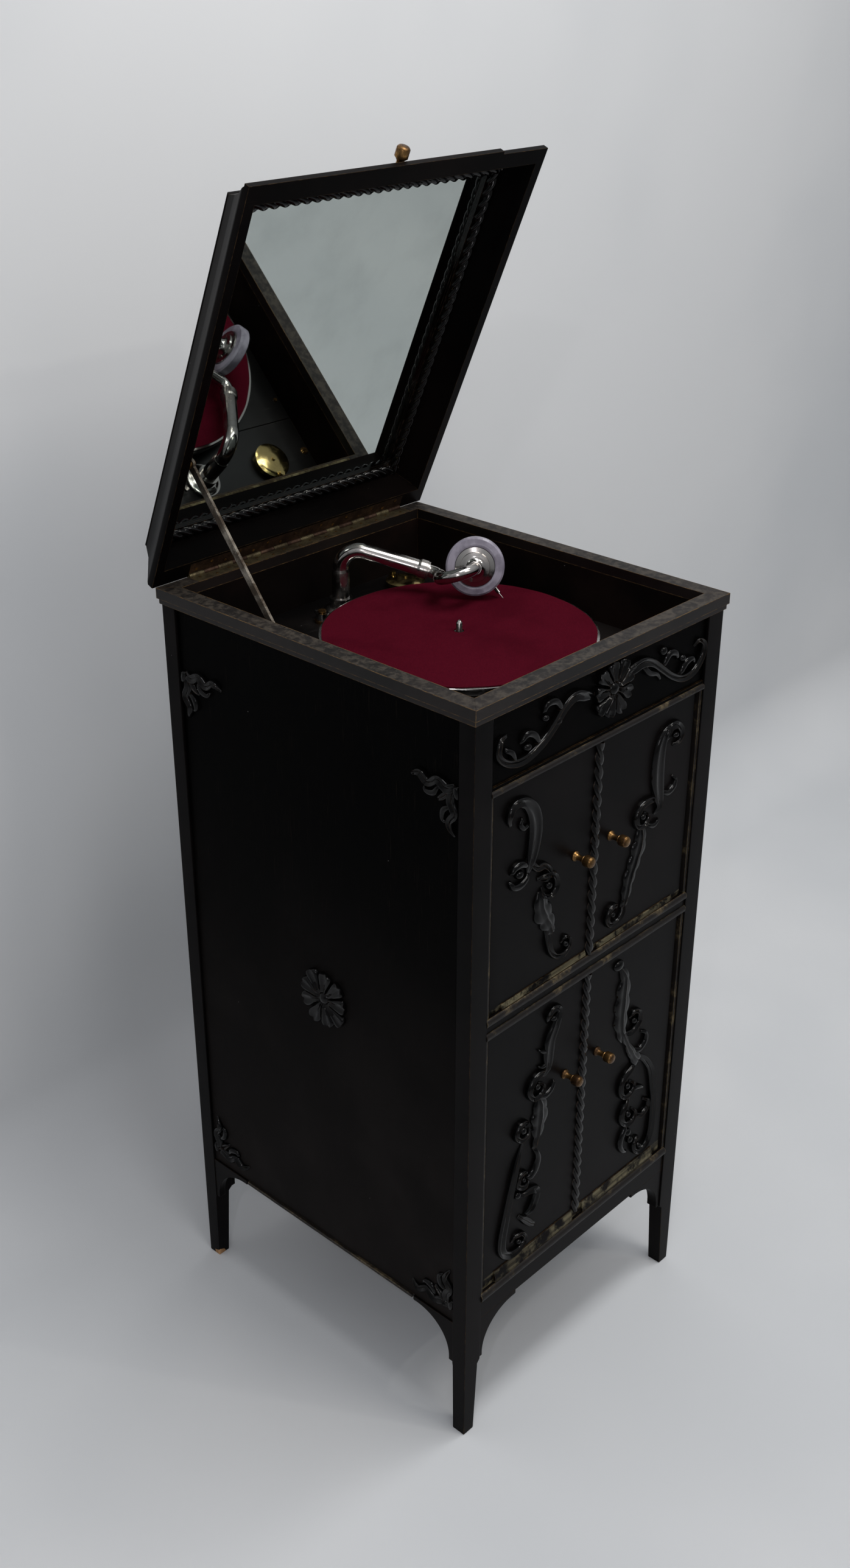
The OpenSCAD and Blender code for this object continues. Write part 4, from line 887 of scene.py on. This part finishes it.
LOWER_LEFT = (
    Stroke(((-69, 516, 4), (-71, 526, 7), (-62, 532, 9), (-52, 526, 10), (-57, 510, 14),
            (-66, 492, 17), (-68, 474, 17), (-69, 458, 12), (-74, 447, 6))),
    Stroke(((-70, 480, 7), (-79, 484, 5), (-84, 488, 2)), Cut.DOMED),
    Stroke(((-70, 464, 7), (-78, 463, 5), (-84, 466, 2)), Cut.DOMED),
    Stroke(((-70, 450, 6), (-79, 456, 8), (-92, 452, 9), (-99, 440, 9), (-92, 428, 8), (-80, 427, 7),
            (-74, 436, 5), (-82, 443, 3))),
    Stroke(((-86, 427, 5), (-72, 420, 8), (-60, 424, 7), (-54, 432, 3)), Cut.DOMED),
    Stroke(((-80, 424, 8), (-77, 403, 28), (-79, 384, 24), (-83, 367, 12), (-87, 354, 6)), Cut.LEAF, 4),
    Stroke(((-93, 387, 5), (-100, 381, 6), (-112, 382, 8), (-119, 392, 8), (-113, 402, 7),
            (-102, 402, 5), (-98, 394, 3))),
    Stroke(((-105, 374, 4), (-116, 351, 9), (-125, 320, 11), (-133, 285, 13), (-139, 255, 14),
            (-137, 236, 13), (-124, 224, 12), (-108, 223, 10), (-98, 232, 8), (-104, 243, 7),
            (-115, 244, 5), (-120, 238, 3))),
    Stroke(((-85, 354, 5), (-79, 338, 10), (-84, 323, 12), (-96, 316, 8)), Cut.DOMED),
    Stroke(((-92, 312, 5), (-104, 311, 8), (-114, 319, 8), (-111, 330, 7), (-101, 331, 5),
            (-99, 323, 3))),
    Stroke(((-109, 300, 5), (-95, 299, 9), (-80, 292, 12), (-84, 276, 13), (-97, 264, 8))),
    Stroke(((-109, 270, 5), (-98, 259, 11), (-88, 248, 10), (-78, 240, 2)), Cut.LEAF),
)
LOWER_LEFT_BEADS = (Bead(-61, 519, 5, 4), Bead(-85, 440, 4.5, 4.5), Bead(-107, 392, 5, 5),
                    Bead(-113, 304, 5, 5), Bead(-109, 234, 4, 4), Bead(-104, 321, 3.5, 3.5))
LOWER_RIGHT = (
    Stroke(((61, 524, 8), (68, 508, 16), (68, 490, 24), (67, 470, 26), (66, 450, 24), (68, 432, 17),
            (74, 414, 8)), Cut.LEAF, 5),
    Stroke(((75, 424, 6), (90, 424, 9), (101, 433, 9), (99, 446, 8), (89, 450, 6), (83, 443, 3))),
    Stroke(((66, 438, 8), (77, 415, 11), (88, 396, 13), (98, 380, 18), (109, 367, 12)), Cut.LEAF, 3),
    Stroke(((98, 391, 5), (107, 388, 8), (117, 395, 8), (117, 406, 6), (109, 411, 3)), Cut.DOMED),
    Stroke(((105, 372, 6), (90, 367, 9), (76, 358, 9), (73, 344, 9), (80, 332, 8), (93, 331, 7),
            (100, 341, 5), (92, 348, 3))),
    Stroke(((99, 334, 6), (111, 330, 7), (121, 324, 3)), Cut.DOMED),
    Stroke(((94, 324, 5), (83, 315, 9), (78, 301, 10), (86, 288, 9), (99, 285, 8), (106, 295, 6),
            (100, 304, 3))),
    Stroke(((108, 290, 5), (118, 284, 8), (129, 288, 8), (131, 299, 6), (123, 304, 3))),
    Stroke(((107, 378, 6), (121, 364, 10), (133, 344, 12), (139, 318, 12), (143, 290, 12),
            (143.5, 262, 12), (141, 241, 12), (132, 228, 11), (120, 226, 9), (110, 234, 8),
            (108, 245, 7), (115, 251, 5), (120, 245, 3))),
    Stroke(((92, 284, 5), (83, 272, 9), (80, 259, 9), (86, 247, 7), (96, 240, 3)), Cut.DOMED),
)
LOWER_RIGHT_BEADS = (Bead(55, 530, 9, 7), Bead(91, 437, 4.5, 4.5), Bead(87, 344, 4.5, 4.5),
                     Bead(92, 299, 4.5, 4.5), Bead(95, 270, 5.5, 5.5), Bead(100, 256, 5, 5),
                     Bead(119, 236, 4, 4))
DOOR_CARVINGS = {
    "upper_left": (UPPER_LEFT, UPPER_LEFT_BEADS),
    "upper_right": (UPPER_RIGHT, UPPER_RIGHT_BEADS),
    "lower_left": (LOWER_LEFT, LOWER_LEFT_BEADS),
    "lower_right": (LOWER_RIGHT, LOWER_RIGHT_BEADS),
}
# the garland of the apron, without its flower
APRON = (
    Stroke(((-19, 887, 8), (-34, 893, 13), (-50, 898, 13), (-66, 892, 11), (-84, 876, 10),
            (-104, 863, 11), (-130, 856, 11), (-152, 861, 10), (-166, 874, 9), (-163, 888, 7),
            (-152, 890, 4))),
    Stroke(((-104, 864, 5), (-112, 877, 9), (-124, 882, 8), (-133, 874, 3)), Cut.DOMED),
    Stroke(((-70, 888, 5), (-80, 902, 9), (-94, 904, 8), (-99, 895, 3)), Cut.DOMED),
    Stroke(((-140, 858, 5), (-146, 870, 8), (-156, 876, 5)), Cut.DOMED),
    Stroke(((27, 891, 10), (42, 896, 13), (60, 899, 13), (78, 893, 11), (96, 880, 10), (114, 867, 10),
            (134, 858, 10), (154, 860, 10), (167, 872, 9), (170, 886, 8), (162, 893, 6), (154, 888, 3))),
    Stroke(((96, 881, 5), (106, 894, 9), (118, 892, 8), (123, 883, 3)), Cut.DOMED),
    Stroke(((128, 862, 5), (138, 874, 9), (150, 876, 7), (155, 868, 3)), Cut.DOMED),
    Stroke(((60, 896, 5), (72, 884, 8), (86, 878, 6), (94, 868, 3)), Cut.DOMED),
)
APRON_BEADS = (Bead(-76, 880, 7, 5, 30), Bead(-122, 868, 6, 4.5), Bead(96, 901, 5.5, 5.5),
               Bead(-96, 890, 5, 4), Bead(132, 882, 5, 4), Bead(12, 886, 8, 8, 0, 1.25))
# a leaf that fills a corner, its points measured from the corner
CORNER_LEAF = (
    (((8, 8, 8), (18, 12, 12), (30, 7, 11), (42, 14, 10), (54, 7, 9), (66, 13, 3)), Cut.GOUGED),
    (((10, 10, 8), (12, 24, 12), (7, 36, 11), (14, 48, 9), (8, 62, 3)), Cut.GOUGED),
    (((28, 12, 4), (34, 22, 8), (44, 24, 6), (48, 19, 3)), Cut.DOMED),
    (((12, 30, 4), (21, 36, 8), (23, 46, 6), (18, 50, 3)), Cut.DOMED),
    (((14, 14, 6), (22, 22, 9), (30, 28, 3)), Cut.LEAF),
    (((6, 6, 6), (5, 14, 8), (3, 20, 3)), Cut.DOMED),
)
# a petal from its root to its tip, as (share of its length, share of its width)
PETAL = ((0.16, 0.22), (0.42, 0.4), (0.66, 0.64), (0.84, 0.78), (0.95, 0.62), (1.0, 0.25))


def corner_leaf(u: float, v: float, across: int, up: int) -> tuple[Stroke, ...]:
    """Leaf ornament in a corner of a side panel.

    Args:
        u: the corner across.
        v: the corner up.
        across: direction of the arm along the edge, 1 or -1.
        up: direction of the upright arm, 1 or -1.

    Returns:
        Its strokes.
    """
    return tuple(Stroke(tuple((u + across * p, v + up * q, w) for p, q, w in line), cut)
                 for line, cut in CORNER_LEAF)


@dataclass(frozen=True)
class Rosette:
    """A flower of spoon-shaped petals, every second one a little shorter."""

    u: float
    v: float
    reach: float
    petals: int = 9
    lean: float = 0.3
    short: float = 0.93
    tall: float = 1.2

    def strokes(self) -> tuple[Stroke, ...]:
        """Draws the petals.

        Returns:
            One stroke for each petal.
        """
        made = []
        wide = math.tau * self.reach / self.petals
        for k, turn in enumerate(turns(self.petals)):
            c, s = math.cos(turn + self.lean), math.sin(turn + self.lean)
            size = self.reach * (1.0 if k % 2 else self.short)
            made.append(Stroke(tuple((self.u + c * far * size, self.v + s * far * size, wide * w)
                                     for far, w in PETAL), tall=self.tall))
        return tuple(made)


@dataclass
class CarvedOrnaments:
    """All ornaments: on four doors, the apron and both sides."""

    door_y: float
    apron_y: float
    side_x: float
    apron_flower: Rosette = Rosette(12, 886, 33)
    side_flower: Rosette = Rosette(-8, 512.5, 37)
    side_bud: Bead = Bead(-8, 512.5, 8, 8, 0, 1.1)
    side_height: float = 5.0
    side_front: float = -207
    side_back: float = 205
    side_top: float = 852
    side_foot: float = 174

    def build(self, finishes: Finishes) -> None:
        """Carves them all.

        Args:
            finishes: the finishes.
        """
        for name, (strokes, beads) in DOOR_CARVINGS.items():
            obj = Carving(f"scroll_{name}", Face.FRONT, self.door_y, f"{name}_door", strokes,
                          beads).build(finishes)
            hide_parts(f"carving_{name}")
        garland = Carving("apron_garland", Face.FRONT, self.apron_y, "case",
                          APRON + self.apron_flower.strokes(), APRON_BEADS).build(finishes)
        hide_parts("case_carvings")
        leaves = (corner_leaf(self.side_front, self.side_top, 1, -1)
                  + corner_leaf(self.side_back, self.side_top, -1, -1)
                  + corner_leaf(self.side_front, self.side_foot, 1, 1)
                  + corner_leaf(self.side_back, self.side_foot, -1, 1))
        for face, plane in ((Face.LEFT, -self.side_x), (Face.RIGHT, self.side_x)):
            Carving(f"{face.value}_side_ornament", face, plane, "case",
                    leaves + self.side_flower.strokes(), (self.side_bud,),
                    self.side_height).build(finishes)


# ---------- ropes ----------


@dataclass
class Rope:
    """Rope moulding of three twisted strands round a core, along Z of its place."""

    length: float
    place: Matrix
    lay: float
    radius: float = 6.0
    core: float = 0.57
    step: float = 1.2
    around: int = 36

    def swell(self, angle: float) -> float:
        """Radius of the rope at an angle about its axis.

        Args:
            angle: the angle in radians.

        Returns:
            How far the nearest strand, or the core between two, reaches.
        """
        strand = self.radius / 2
        best = 0.0
        for turn in turns(3):
            lean = angle - turn
            inside = strand * strand * (1 - math.sin(lean) ** 2)
            best = max(best, strand * math.cos(lean) + math.sqrt(max(inside, 0.0)))
        return max(best, self.core * self.radius)

    def add(self, shape: Shape) -> None:
        """Adds the rope to a mesh, whole.

        Args:
            shape: the mesh.
        """
        steps = int(self.length / self.step)
        rings = []
        for i in range(steps + 1):
            z = self.length * i / steps
            ring = []
            for a in turns(self.around):
                r = self.swell(a + math.tau * z / self.lay)
                ring.append(tuple(self.place @ Vector((r * math.cos(a), r * math.sin(a), z))))
            rings.append(ring)
        shape.rings(rings)


def cut_flat(obj: bpy.types.Object, point: Point, normal: Point) -> None:
    """Cuts an object by a plane and fills the cut.

    Args:
        obj: the object; its mesh changes.
        point: a point of the plane, in metres.
        normal: the side that is cut away.
    """
    build = bmesh.new()
    build.from_mesh(obj.data)
    geom = list(build.verts) + list(build.edges) + list(build.faces)
    done = bmesh.ops.bisect_plane(build, geom=geom, plane_co=point, plane_no=normal, clear_outer=True)
    rim = [e for e in done["geom_cut"] if isinstance(e, bmesh.types.BMEdge)]
    bmesh.ops.holes_fill(build, edges=rim, sides=0)
    build.to_mesh(obj.data)
    build.free()


@dataclass
class DoorRopes:
    """Rope mouldings down the meeting edges of the left doors, halved along the door's face."""

    door_y: float
    centre: float = -3.0
    lay: float = 49.0
    sharp: float = 40.0

    def build(self, finishes: Finishes) -> None:
        """Builds both ropes.

        Args:
            finishes: the finishes.
        """
        for name in ("upper", "lower"):
            low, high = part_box(f"rope_{name}")
            shape = Shape()
            place = Matrix.Translation((self.centre, self.door_y, low.z / MM))
            Rope((high.z - low.z) / MM, place, self.lay).add(shape)
            obj = shape.object(f"door_rope_{name}", finishes["rope"], f"{name}_left_door", "rope_wood",
                               self.sharp)
            cut_flat(obj, (0, self.door_y * MM, 0), (0, 1, 0))
            cut_flat(obj, (high.x, 0, 0), (1, 0, 0))
            obj.data.set_sharp_from_angle(angle=math.radians(self.sharp))
            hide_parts(f"rope_{name}")


# ---------- lid ----------


@dataclass
class LidPlace:
    """Where the open lid stands: its hinge line in millimetres and its angle in degrees."""

    hinge_y: float = 229.0
    hinge_z: float = 936.5
    opened: float = 66.4

    def matrix(self) -> Matrix:
        """Takes (across, from hinge, depth) to the standing lid."""
        a = math.radians(self.opened)
        return Matrix(((1, 0, 0, 0), (0, -math.cos(a), math.sin(a), self.hinge_y),
                       (0, math.sin(a), math.cos(a), self.hinge_z), (0, 0, 0, 1)))


@dataclass
class MirrorRope:
    """Rope moulding round the mirror, laid on the glass with a narrow fillet under it."""

    lid: LidPlace
    half_x: float = 186.0
    near: float = 25.6
    far: float = 429.0
    glass: float = 40.5
    radius: float = 6.0
    lay: float = 42.0
    fillet: float = 3.2

    def build(self, finishes: Finishes) -> None:
        """Builds the four lengths.

        Args:
            finishes: the finishes.
        """
        shape = Shape()
        on_lid = self.lid.matrix()
        r, up = self.radius, self.glass - self.radius
        long, wide = self.far - self.near, 2 * self.half_x
        along = Matrix.Rotation(math.radians(-90), 4, "X")
        across = Matrix.Rotation(math.radians(90), 4, "Y")
        for x in (-self.half_x + r, self.half_x - r):
            Rope(long, on_lid @ Matrix.Translation((x, self.near, up)) @ along, self.lay, r).add(shape)
        for s in (self.near + r, self.far - r):
            Rope(wide, on_lid @ Matrix.Translation((-self.half_x, s, up)) @ across, self.lay, r).add(shape)
        left, right = -self.half_x, self.half_x
        for x0, x1, s0, s1 in ((left, left + 2 * r, self.near, self.far),
                               (right - 2 * r, right, self.near, self.far),
                               (left + 2 * r, right - 2 * r, self.near, self.near + 2 * r),
                               (left + 2 * r, right - 2 * r, self.far - 2 * r, self.far)):
            shape.rings([[tuple(on_lid @ Vector((x, s, t)))
                          for x, s in ((x0, s0), (x1, s0), (x1, s1), (x0, s1))]
                         for t in (self.glass - self.fillet, self.glass)])
        obj = shape.object("mirror_rope_carved", finishes["rope"], "lid", "rope_wood", 40)
        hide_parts("mirror_rope")


@dataclass
class HingeNails:
    """Small domed nails in two rows on each leaf of the long hinge."""

    lid: LidPlace
    start: float = -150.0
    step: float = 20.75
    count: int = 16
    rows: tuple[float, float] = (7.5, 12.5)
    leaf: float = 0.5
    outline: tuple[tuple[float, float], ...] = (
        (0, -0.2), (1.9, -0.2), (1.9, 0.1), (1.52, 0.3), (0.76, 0.42), (0, 0.45))
    around: int = 12

    def build(self, finishes: Finishes) -> None:
        """Sets the nails.

        Args:
            finishes: the finishes.
        """
        case, lid = Shape(), Shape()
        flip = Matrix.Rotation(math.pi, 4, "X")
        for k in range(self.count):
            x, s = self.start + self.step * k, self.rows[k % 2]
            on_case = Matrix.Translation((x, self.lid.hinge_y - s, self.lid.hinge_z - self.leaf))
            on_lid = self.lid.matrix() @ Matrix.Translation((x, s, self.leaf)) @ flip
            case.lathe(self.outline, on_case, self.around)
            lid.lathe(self.outline, on_lid, self.around)
        case.object("hinge_nails_case", finishes["brass"], "case", "hinge_brass")
        lid.object("hinge_nails_lid", finishes["brass"], "lid", "hinge_brass")


# ---------- turned and soft pieces ----------


@dataclass
class DoorKnobs:
    """Turned knobs of the doors, each at (across, up) on its door."""

    door_y: float
    spots: tuple[tuple[float, float], ...] = ((-34, 709), (26, 709), (-34, 428), (24, 428))
    outline: tuple[tuple[float, float], ...] = (
        (0, -0.5), (5.6, -0.5), (5.8, 0.6), (5.5, 1.6), (4.3, 2.4), (3.5, 4.0), (3.1, 6.5), (3.1, 9.0),
        (3.6, 11.0), (4.8, 12.2), (4.6, 12.7), (5.9, 13.5), (6.3, 14.2), (6.3, 20.8), (6.1, 21.6),
        (5.4, 22.4), (4.9, 23.2), (3.2, 23.7), (0, 24.0))
    around: int = 56

    def build(self, finishes: Finishes) -> None:
        """Turns the four knobs.

        Args:
            finishes: the finishes.
        """
        out = Matrix.Rotation(math.radians(90), 4, "X")
        for name, (x, z) in zip(DOORS, self.spots):
            shape = Shape()
            shape.lathe(self.outline, Matrix.Translation((x, self.door_y, z)) @ out, self.around)
            obj = shape.object(f"door_knob_{name}", finishes["brass"], f"{name}_door", "brass", 42)
            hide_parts(f"knob_{name}")


@dataclass
class FeltMat:
    """Felt disc on the turntable. Two sine waves roughen its cut edge and a third lifts its top."""

    centre: tuple[float, float] = (7.0, -19.0)
    radius: float = 149.0
    hole: float = 5.5
    low: float = 892.02
    thick: float = 0.95
    around: int = 160
    bands: int = 24

    def ring(self, share: float, top: bool) -> list[Point]:
        """One ring of the disc.

        Args:
            share: how far it lies from the hole towards the edge, 0 to 1.
            top: whether it is on the upper face.

        Returns:
            Its points in millimetres.
        """
        x, y = self.centre
        made = []
        for a in turns(self.around):
            edge = self.radius + 0.35 * math.sin(7 * a) + 0.2 * math.sin(23 * a + 1)
            r = self.hole + (edge - self.hole) * share
            lift = self.thick + 0.05 * math.sin(5 * a + 9 * share) * share if top else 0.0
            made.append((x + r * math.cos(a), y + r * math.sin(a), self.low + lift))
        return made

    def build(self, finishes: Finishes) -> None:
        """Args:
            finishes: the finishes.
        """
        inner = 0.08
        shares = [0.0, inner / 4] + [inner + (1 - inner) * k / self.bands for k in range(self.bands + 1)]
        shape = Shape()
        shape.rings([self.ring(share, True) for share in shares]
                    + [self.ring(share, False) for share in reversed(shares)], looped=True)
        obj = shape.object("felt_mat", finishes["felt"], "turntable", "felt", 60)
        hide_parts("felt")


# ---------- CAD nodes ----------


@dataclass
class NodeDresser:
    """Gives each CAD node its finish and soft corners."""

    finishes: Finishes
    # joins the points that neighbouring faces of the CAD share, in metres
    weld: float = 1e-5
    round_above: float = 38.0
    split_above: float = 36.0

    FINISH = {
        "post": ("post_front_left", "post_front_right", "post_back_right"),
        "foot": ("post_back_left",),
        "apron": ("apron",),
        "ebony_across": ("mid_rail", "bottom_rail"),
        "upper_door": ("door_upper_left", "door_upper_right"),
        "lower_door": ("door_lower_left", "door_lower_right"),
        "side": ("side_panel_left", "side_panel_right"),
        "moulding": ("mouldings",),
        "rim": ("top_rim",),
        "inner": ("well_lining", "inner_boards", "sound_horn"),
        "board": ("motor_board", "rear_board"),
        "carving": ("case_carvings", *(f"carving_{door}" for door in DOORS)),
        "rope": ("rope_upper", "rope_lower", "mirror_rope"),
        "lid": ("lid_frame", "lid_top"),
        "brass": ("door_pins", "lid_knob", "lid_fittings", "case_fittings",
                  *(f"knob_{door}" for door in DOORS)),
        "lid_brass": ("needle_cup", "cup_lid"),
        "hinge": ("hinge_leaf_case",),
        "hinge_lid": ("hinge_leaf_lid",),
        "mirror": ("mirror_glass",),
        "stay": ("lid_stay",),
        "steel": ("motor_frame", "spring_barrel", "crank"),
        "grip": ("crank_grip",),
        "nickel": ("spindle", "platter", "brake_lever", "tonearm_base", "tonearm", "gooseneck",
                   "soundbox", "needle"),
        "felt": ("felt",),
        "rubber": ("soundbox_rim",),
    }
    # width of the rounding, in millimetres
    ROUNDED = {
        0.5: ("lid_frame", "lid_top"),
        0.6: ("mid_rail", "motor_board", "rear_board"),
        0.7: ("brackets",),
        0.8: ("bottom_rail",),
        0.9: ("post_front_left", "post_front_right", "post_back_left", "post_back_right"),
        1.0: tuple(f"door_{door}" for door in DOORS),
    }

    def dress(self, obj: bpy.types.Object, key: str, width: float) -> None:
        """Dresses one node.

        Args:
            obj: the node's object.
            key: the finish.
            width: width of its rounding in millimetres, 0 for none.
        """
        obj.data.materials.clear()
        obj.data.materials.append(self.finishes[key])
        with bpy.context.temp_override(object=obj, active_object=obj, selected_objects=[obj]):
            bpy.ops.mesh.customdata_custom_splitnormals_clear()
        for face in obj.data.polygons:
            face.use_smooth = True
        obj.modifiers.new("weld", "WELD").merge_threshold = self.weld
        if width:
            round_off = obj.modifiers.new("rounded corners", "BEVEL")
            round_off.width = width * MM
            round_off.segments = 2
            round_off.limit_method = "ANGLE"
            round_off.angle_limit = math.radians(self.round_above)
            even = obj.modifiers.new("even shading", "WEIGHTED_NORMAL")
            even.weight = 60
            even.keep_sharp = True
        else:
            split = obj.modifiers.new("sharp corners", "EDGE_SPLIT")
            split.split_angle = math.radians(self.split_above)

    def build(self, nodes: dict[str, bpy.types.Object]) -> None:
        """Dresses every node; one that FINISH doesn't name is plain ebony.

        Args:
            nodes: the CAD nodes by name.
        """
        chosen = {n: key for key, names in self.FINISH.items() for n in names}
        widths = {n: width for width, names in self.ROUNDED.items() for n in names}
        for name, obj in nodes.items():
            self.dress(obj, chosen.get(name, "ebony"), widths.get(name, 0.0))
        LOG.info("dressed %d nodes", len(nodes))


# ---------- studio ----------


@dataclass(frozen=True)
class Lamp:
    """A soft lamp: where it hangs and points, in metres, its sides, watts and tint."""

    name: str
    spot: Point
    aim: Point
    size: tuple[float, float]
    power: float
    tint: Colour

    def hang(self) -> None:
        """Puts the lamp in the scene."""
        light = bpy.data.lights.new(self.name, "AREA")
        light.shape = "RECTANGLE"
        light.size, light.size_y = self.size
        light.energy = self.power
        light.color = self.tint[:3]
        obj = bpy.data.objects.new(self.name, light)
        obj.location = self.spot
        obj.rotation_euler = (Vector(self.aim) - Vector(self.spot)).to_track_quat("-Z", "Y").to_euler()
        bpy.context.scene.collection.objects.link(obj)


@dataclass
class Viewpoint:
    """The photograph's camera: place in metres, angles in degrees, lens in millimetres."""

    eye: Point = (-1.2452, -1.1364, 1.5771)
    turn: float = -47.005
    rise: float = 27.433
    roll: float = 0.065
    lens: float = 38.37
    sensor: float = 36.0
    near: float = 0.05
    far: float = 60.0

    def build(self) -> None:
        """Sets the camera."""
        turn, rise = math.radians(self.turn), math.radians(self.rise)
        back = Vector((math.sin(turn) * math.cos(rise), -math.cos(turn) * math.cos(rise), math.sin(rise)))
        look = back.to_track_quat("Z", "Y").to_matrix().to_4x4()
        lens = bpy.data.cameras.new("camera")
        lens.lens = self.lens
        lens.sensor_width = self.sensor
        lens.clip_start, lens.clip_end = self.near, self.far
        camera = bpy.data.objects.new("camera", lens)
        camera.matrix_world = (Matrix.Translation(self.eye) @ look
                               @ Matrix.Rotation(math.radians(self.roll), 4, "Z"))
        bpy.context.scene.collection.objects.link(camera)
        bpy.context.scene.camera = camera


@dataclass
class Studio:
    """Pale floor that curves up into a wall, a sky that dims towards the horizon, and lamps."""

    reach: float = 6.0
    depth: float = 4.5
    middle: float = 1.0
    height: float = 4.0
    back: float = 0.5
    curve: float = 0.16
    curve_steps: int = 16
    sky: Colour = paint("e6e9ee")
    ceiling: float = 0.8
    dim: float = 0.27
    bright: float = 0.68
    lamps: tuple[Lamp, ...] = (
        Lamp("key", (0.3, -1.8, 3.1), (0.0, 0.3, 1.0), (0.7, 0.7), 17.0, paint("fffaf4")),
        Lamp("top", (0.3, -0.55, 3.2), (0.2, 0.5, 2.0), (1.8, 0.6), 48.0, paint("ffffff")),
        Lamp("fill", (-1.6, -1.5, 1.5), (0.1, 0.2, 0.3), (0.5, 0.5), 4.0, paint("fdfbff")),
        Lamp("glint_left", (-1.9, -1.4, 2.5), (0.0, 0.0, 0.6), (0.06, 0.06), 5.0, paint("fbf8ff")),
        Lamp("glint_right", (0.9, -2.2, 2.7), (0.0, 0.0, 0.6), (0.06, 0.06), 5.0, paint("fffaf0")),
    )

    def sheet(self, name: str, profile: Sequence[tuple[float, float]], paper: bpy.types.Material) -> None:
        """Builds one sheet of the studio.

        Args:
            name: its name.
            profile: its depths and heights, in metres.
            paper: its material.
        """
        mesh = bpy.data.meshes.new(name)
        build = bmesh.new()
        rows = [[build.verts.new((u, v, h)) for u in (-self.reach, self.reach)] for v, h in profile]
        for low, high in zip(rows, rows[1:]):
            build.faces.new((low[0], low[1], high[1], high[0])).smooth = True
        build.to_mesh(mesh)
        build.free()
        link(name, mesh, paper)

    def sweep(self) -> None:
        """Builds the floor that curves up into the wall, and the floor past the wall."""
        paper = Paper("studio_paper").material()
        start = self.back - self.curve
        profile = [(-self.depth, 0.0), (-self.middle, 0.0), (start, 0.0)]
        for k in range(1, self.curve_steps + 1):
            a = math.radians(90 * k / self.curve_steps)
            profile.append((start + self.curve * math.sin(a), self.curve - self.curve * math.cos(a)))
        self.sheet("sweep", profile + [(self.back, self.height)], paper)
        self.sheet("floor_past_wall", [(start, 0.0), (self.depth, 0.0)], paper)

    def world(self) -> None:
        """Builds the light from the ceiling, which fades towards a dim room."""
        world = bpy.data.worlds.new("studio")
        bpy.context.scene.world = world
        g = Graph(world, "Background")
        up = g.axis(g.node("ShaderNodeTexCoord", out="Generated"), "Z")
        g.surface(Color=self.sky, Strength=up.between(0.0, self.ceiling, self.dim, self.bright))

    def build(self) -> None:
        """Builds the whole studio."""
        self.sweep()
        self.world()
        for lamp in self.lamps:
            lamp.hang()
            LOG.info("lamp %s", lamp.name)
        bpy.context.scene.view_settings.view_transform = "Standard"


# ---------- main ----------

# depth of the apron's panel behind the rail under it, in millimetres
APRON_STEP = 2.0


def main() -> None:
    """Builds the looks of the cabinet on its frame."""
    logging.basicConfig(level=logging.INFO, format="%(message)s")
    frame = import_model()
    finishes = Finishes()
    door_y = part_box("carving_upper_left")[1].y / MM
    apron_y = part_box("apron")[0].y / MM + APRON_STEP
    side_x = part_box("side_panel_right")[1].x / MM
    lid = LidPlace()
    NodeDresser(finishes).build(frame["nodes"])
    for piece in (CarvedOrnaments(door_y, apron_y, side_x), DoorRopes(door_y), MirrorRope(lid),
                  HingeNails(lid), DoorKnobs(door_y), FeltMat()):
        piece.build(finishes)
    Studio().build()
    Viewpoint().build()


if __name__ == "__main__":
    main()
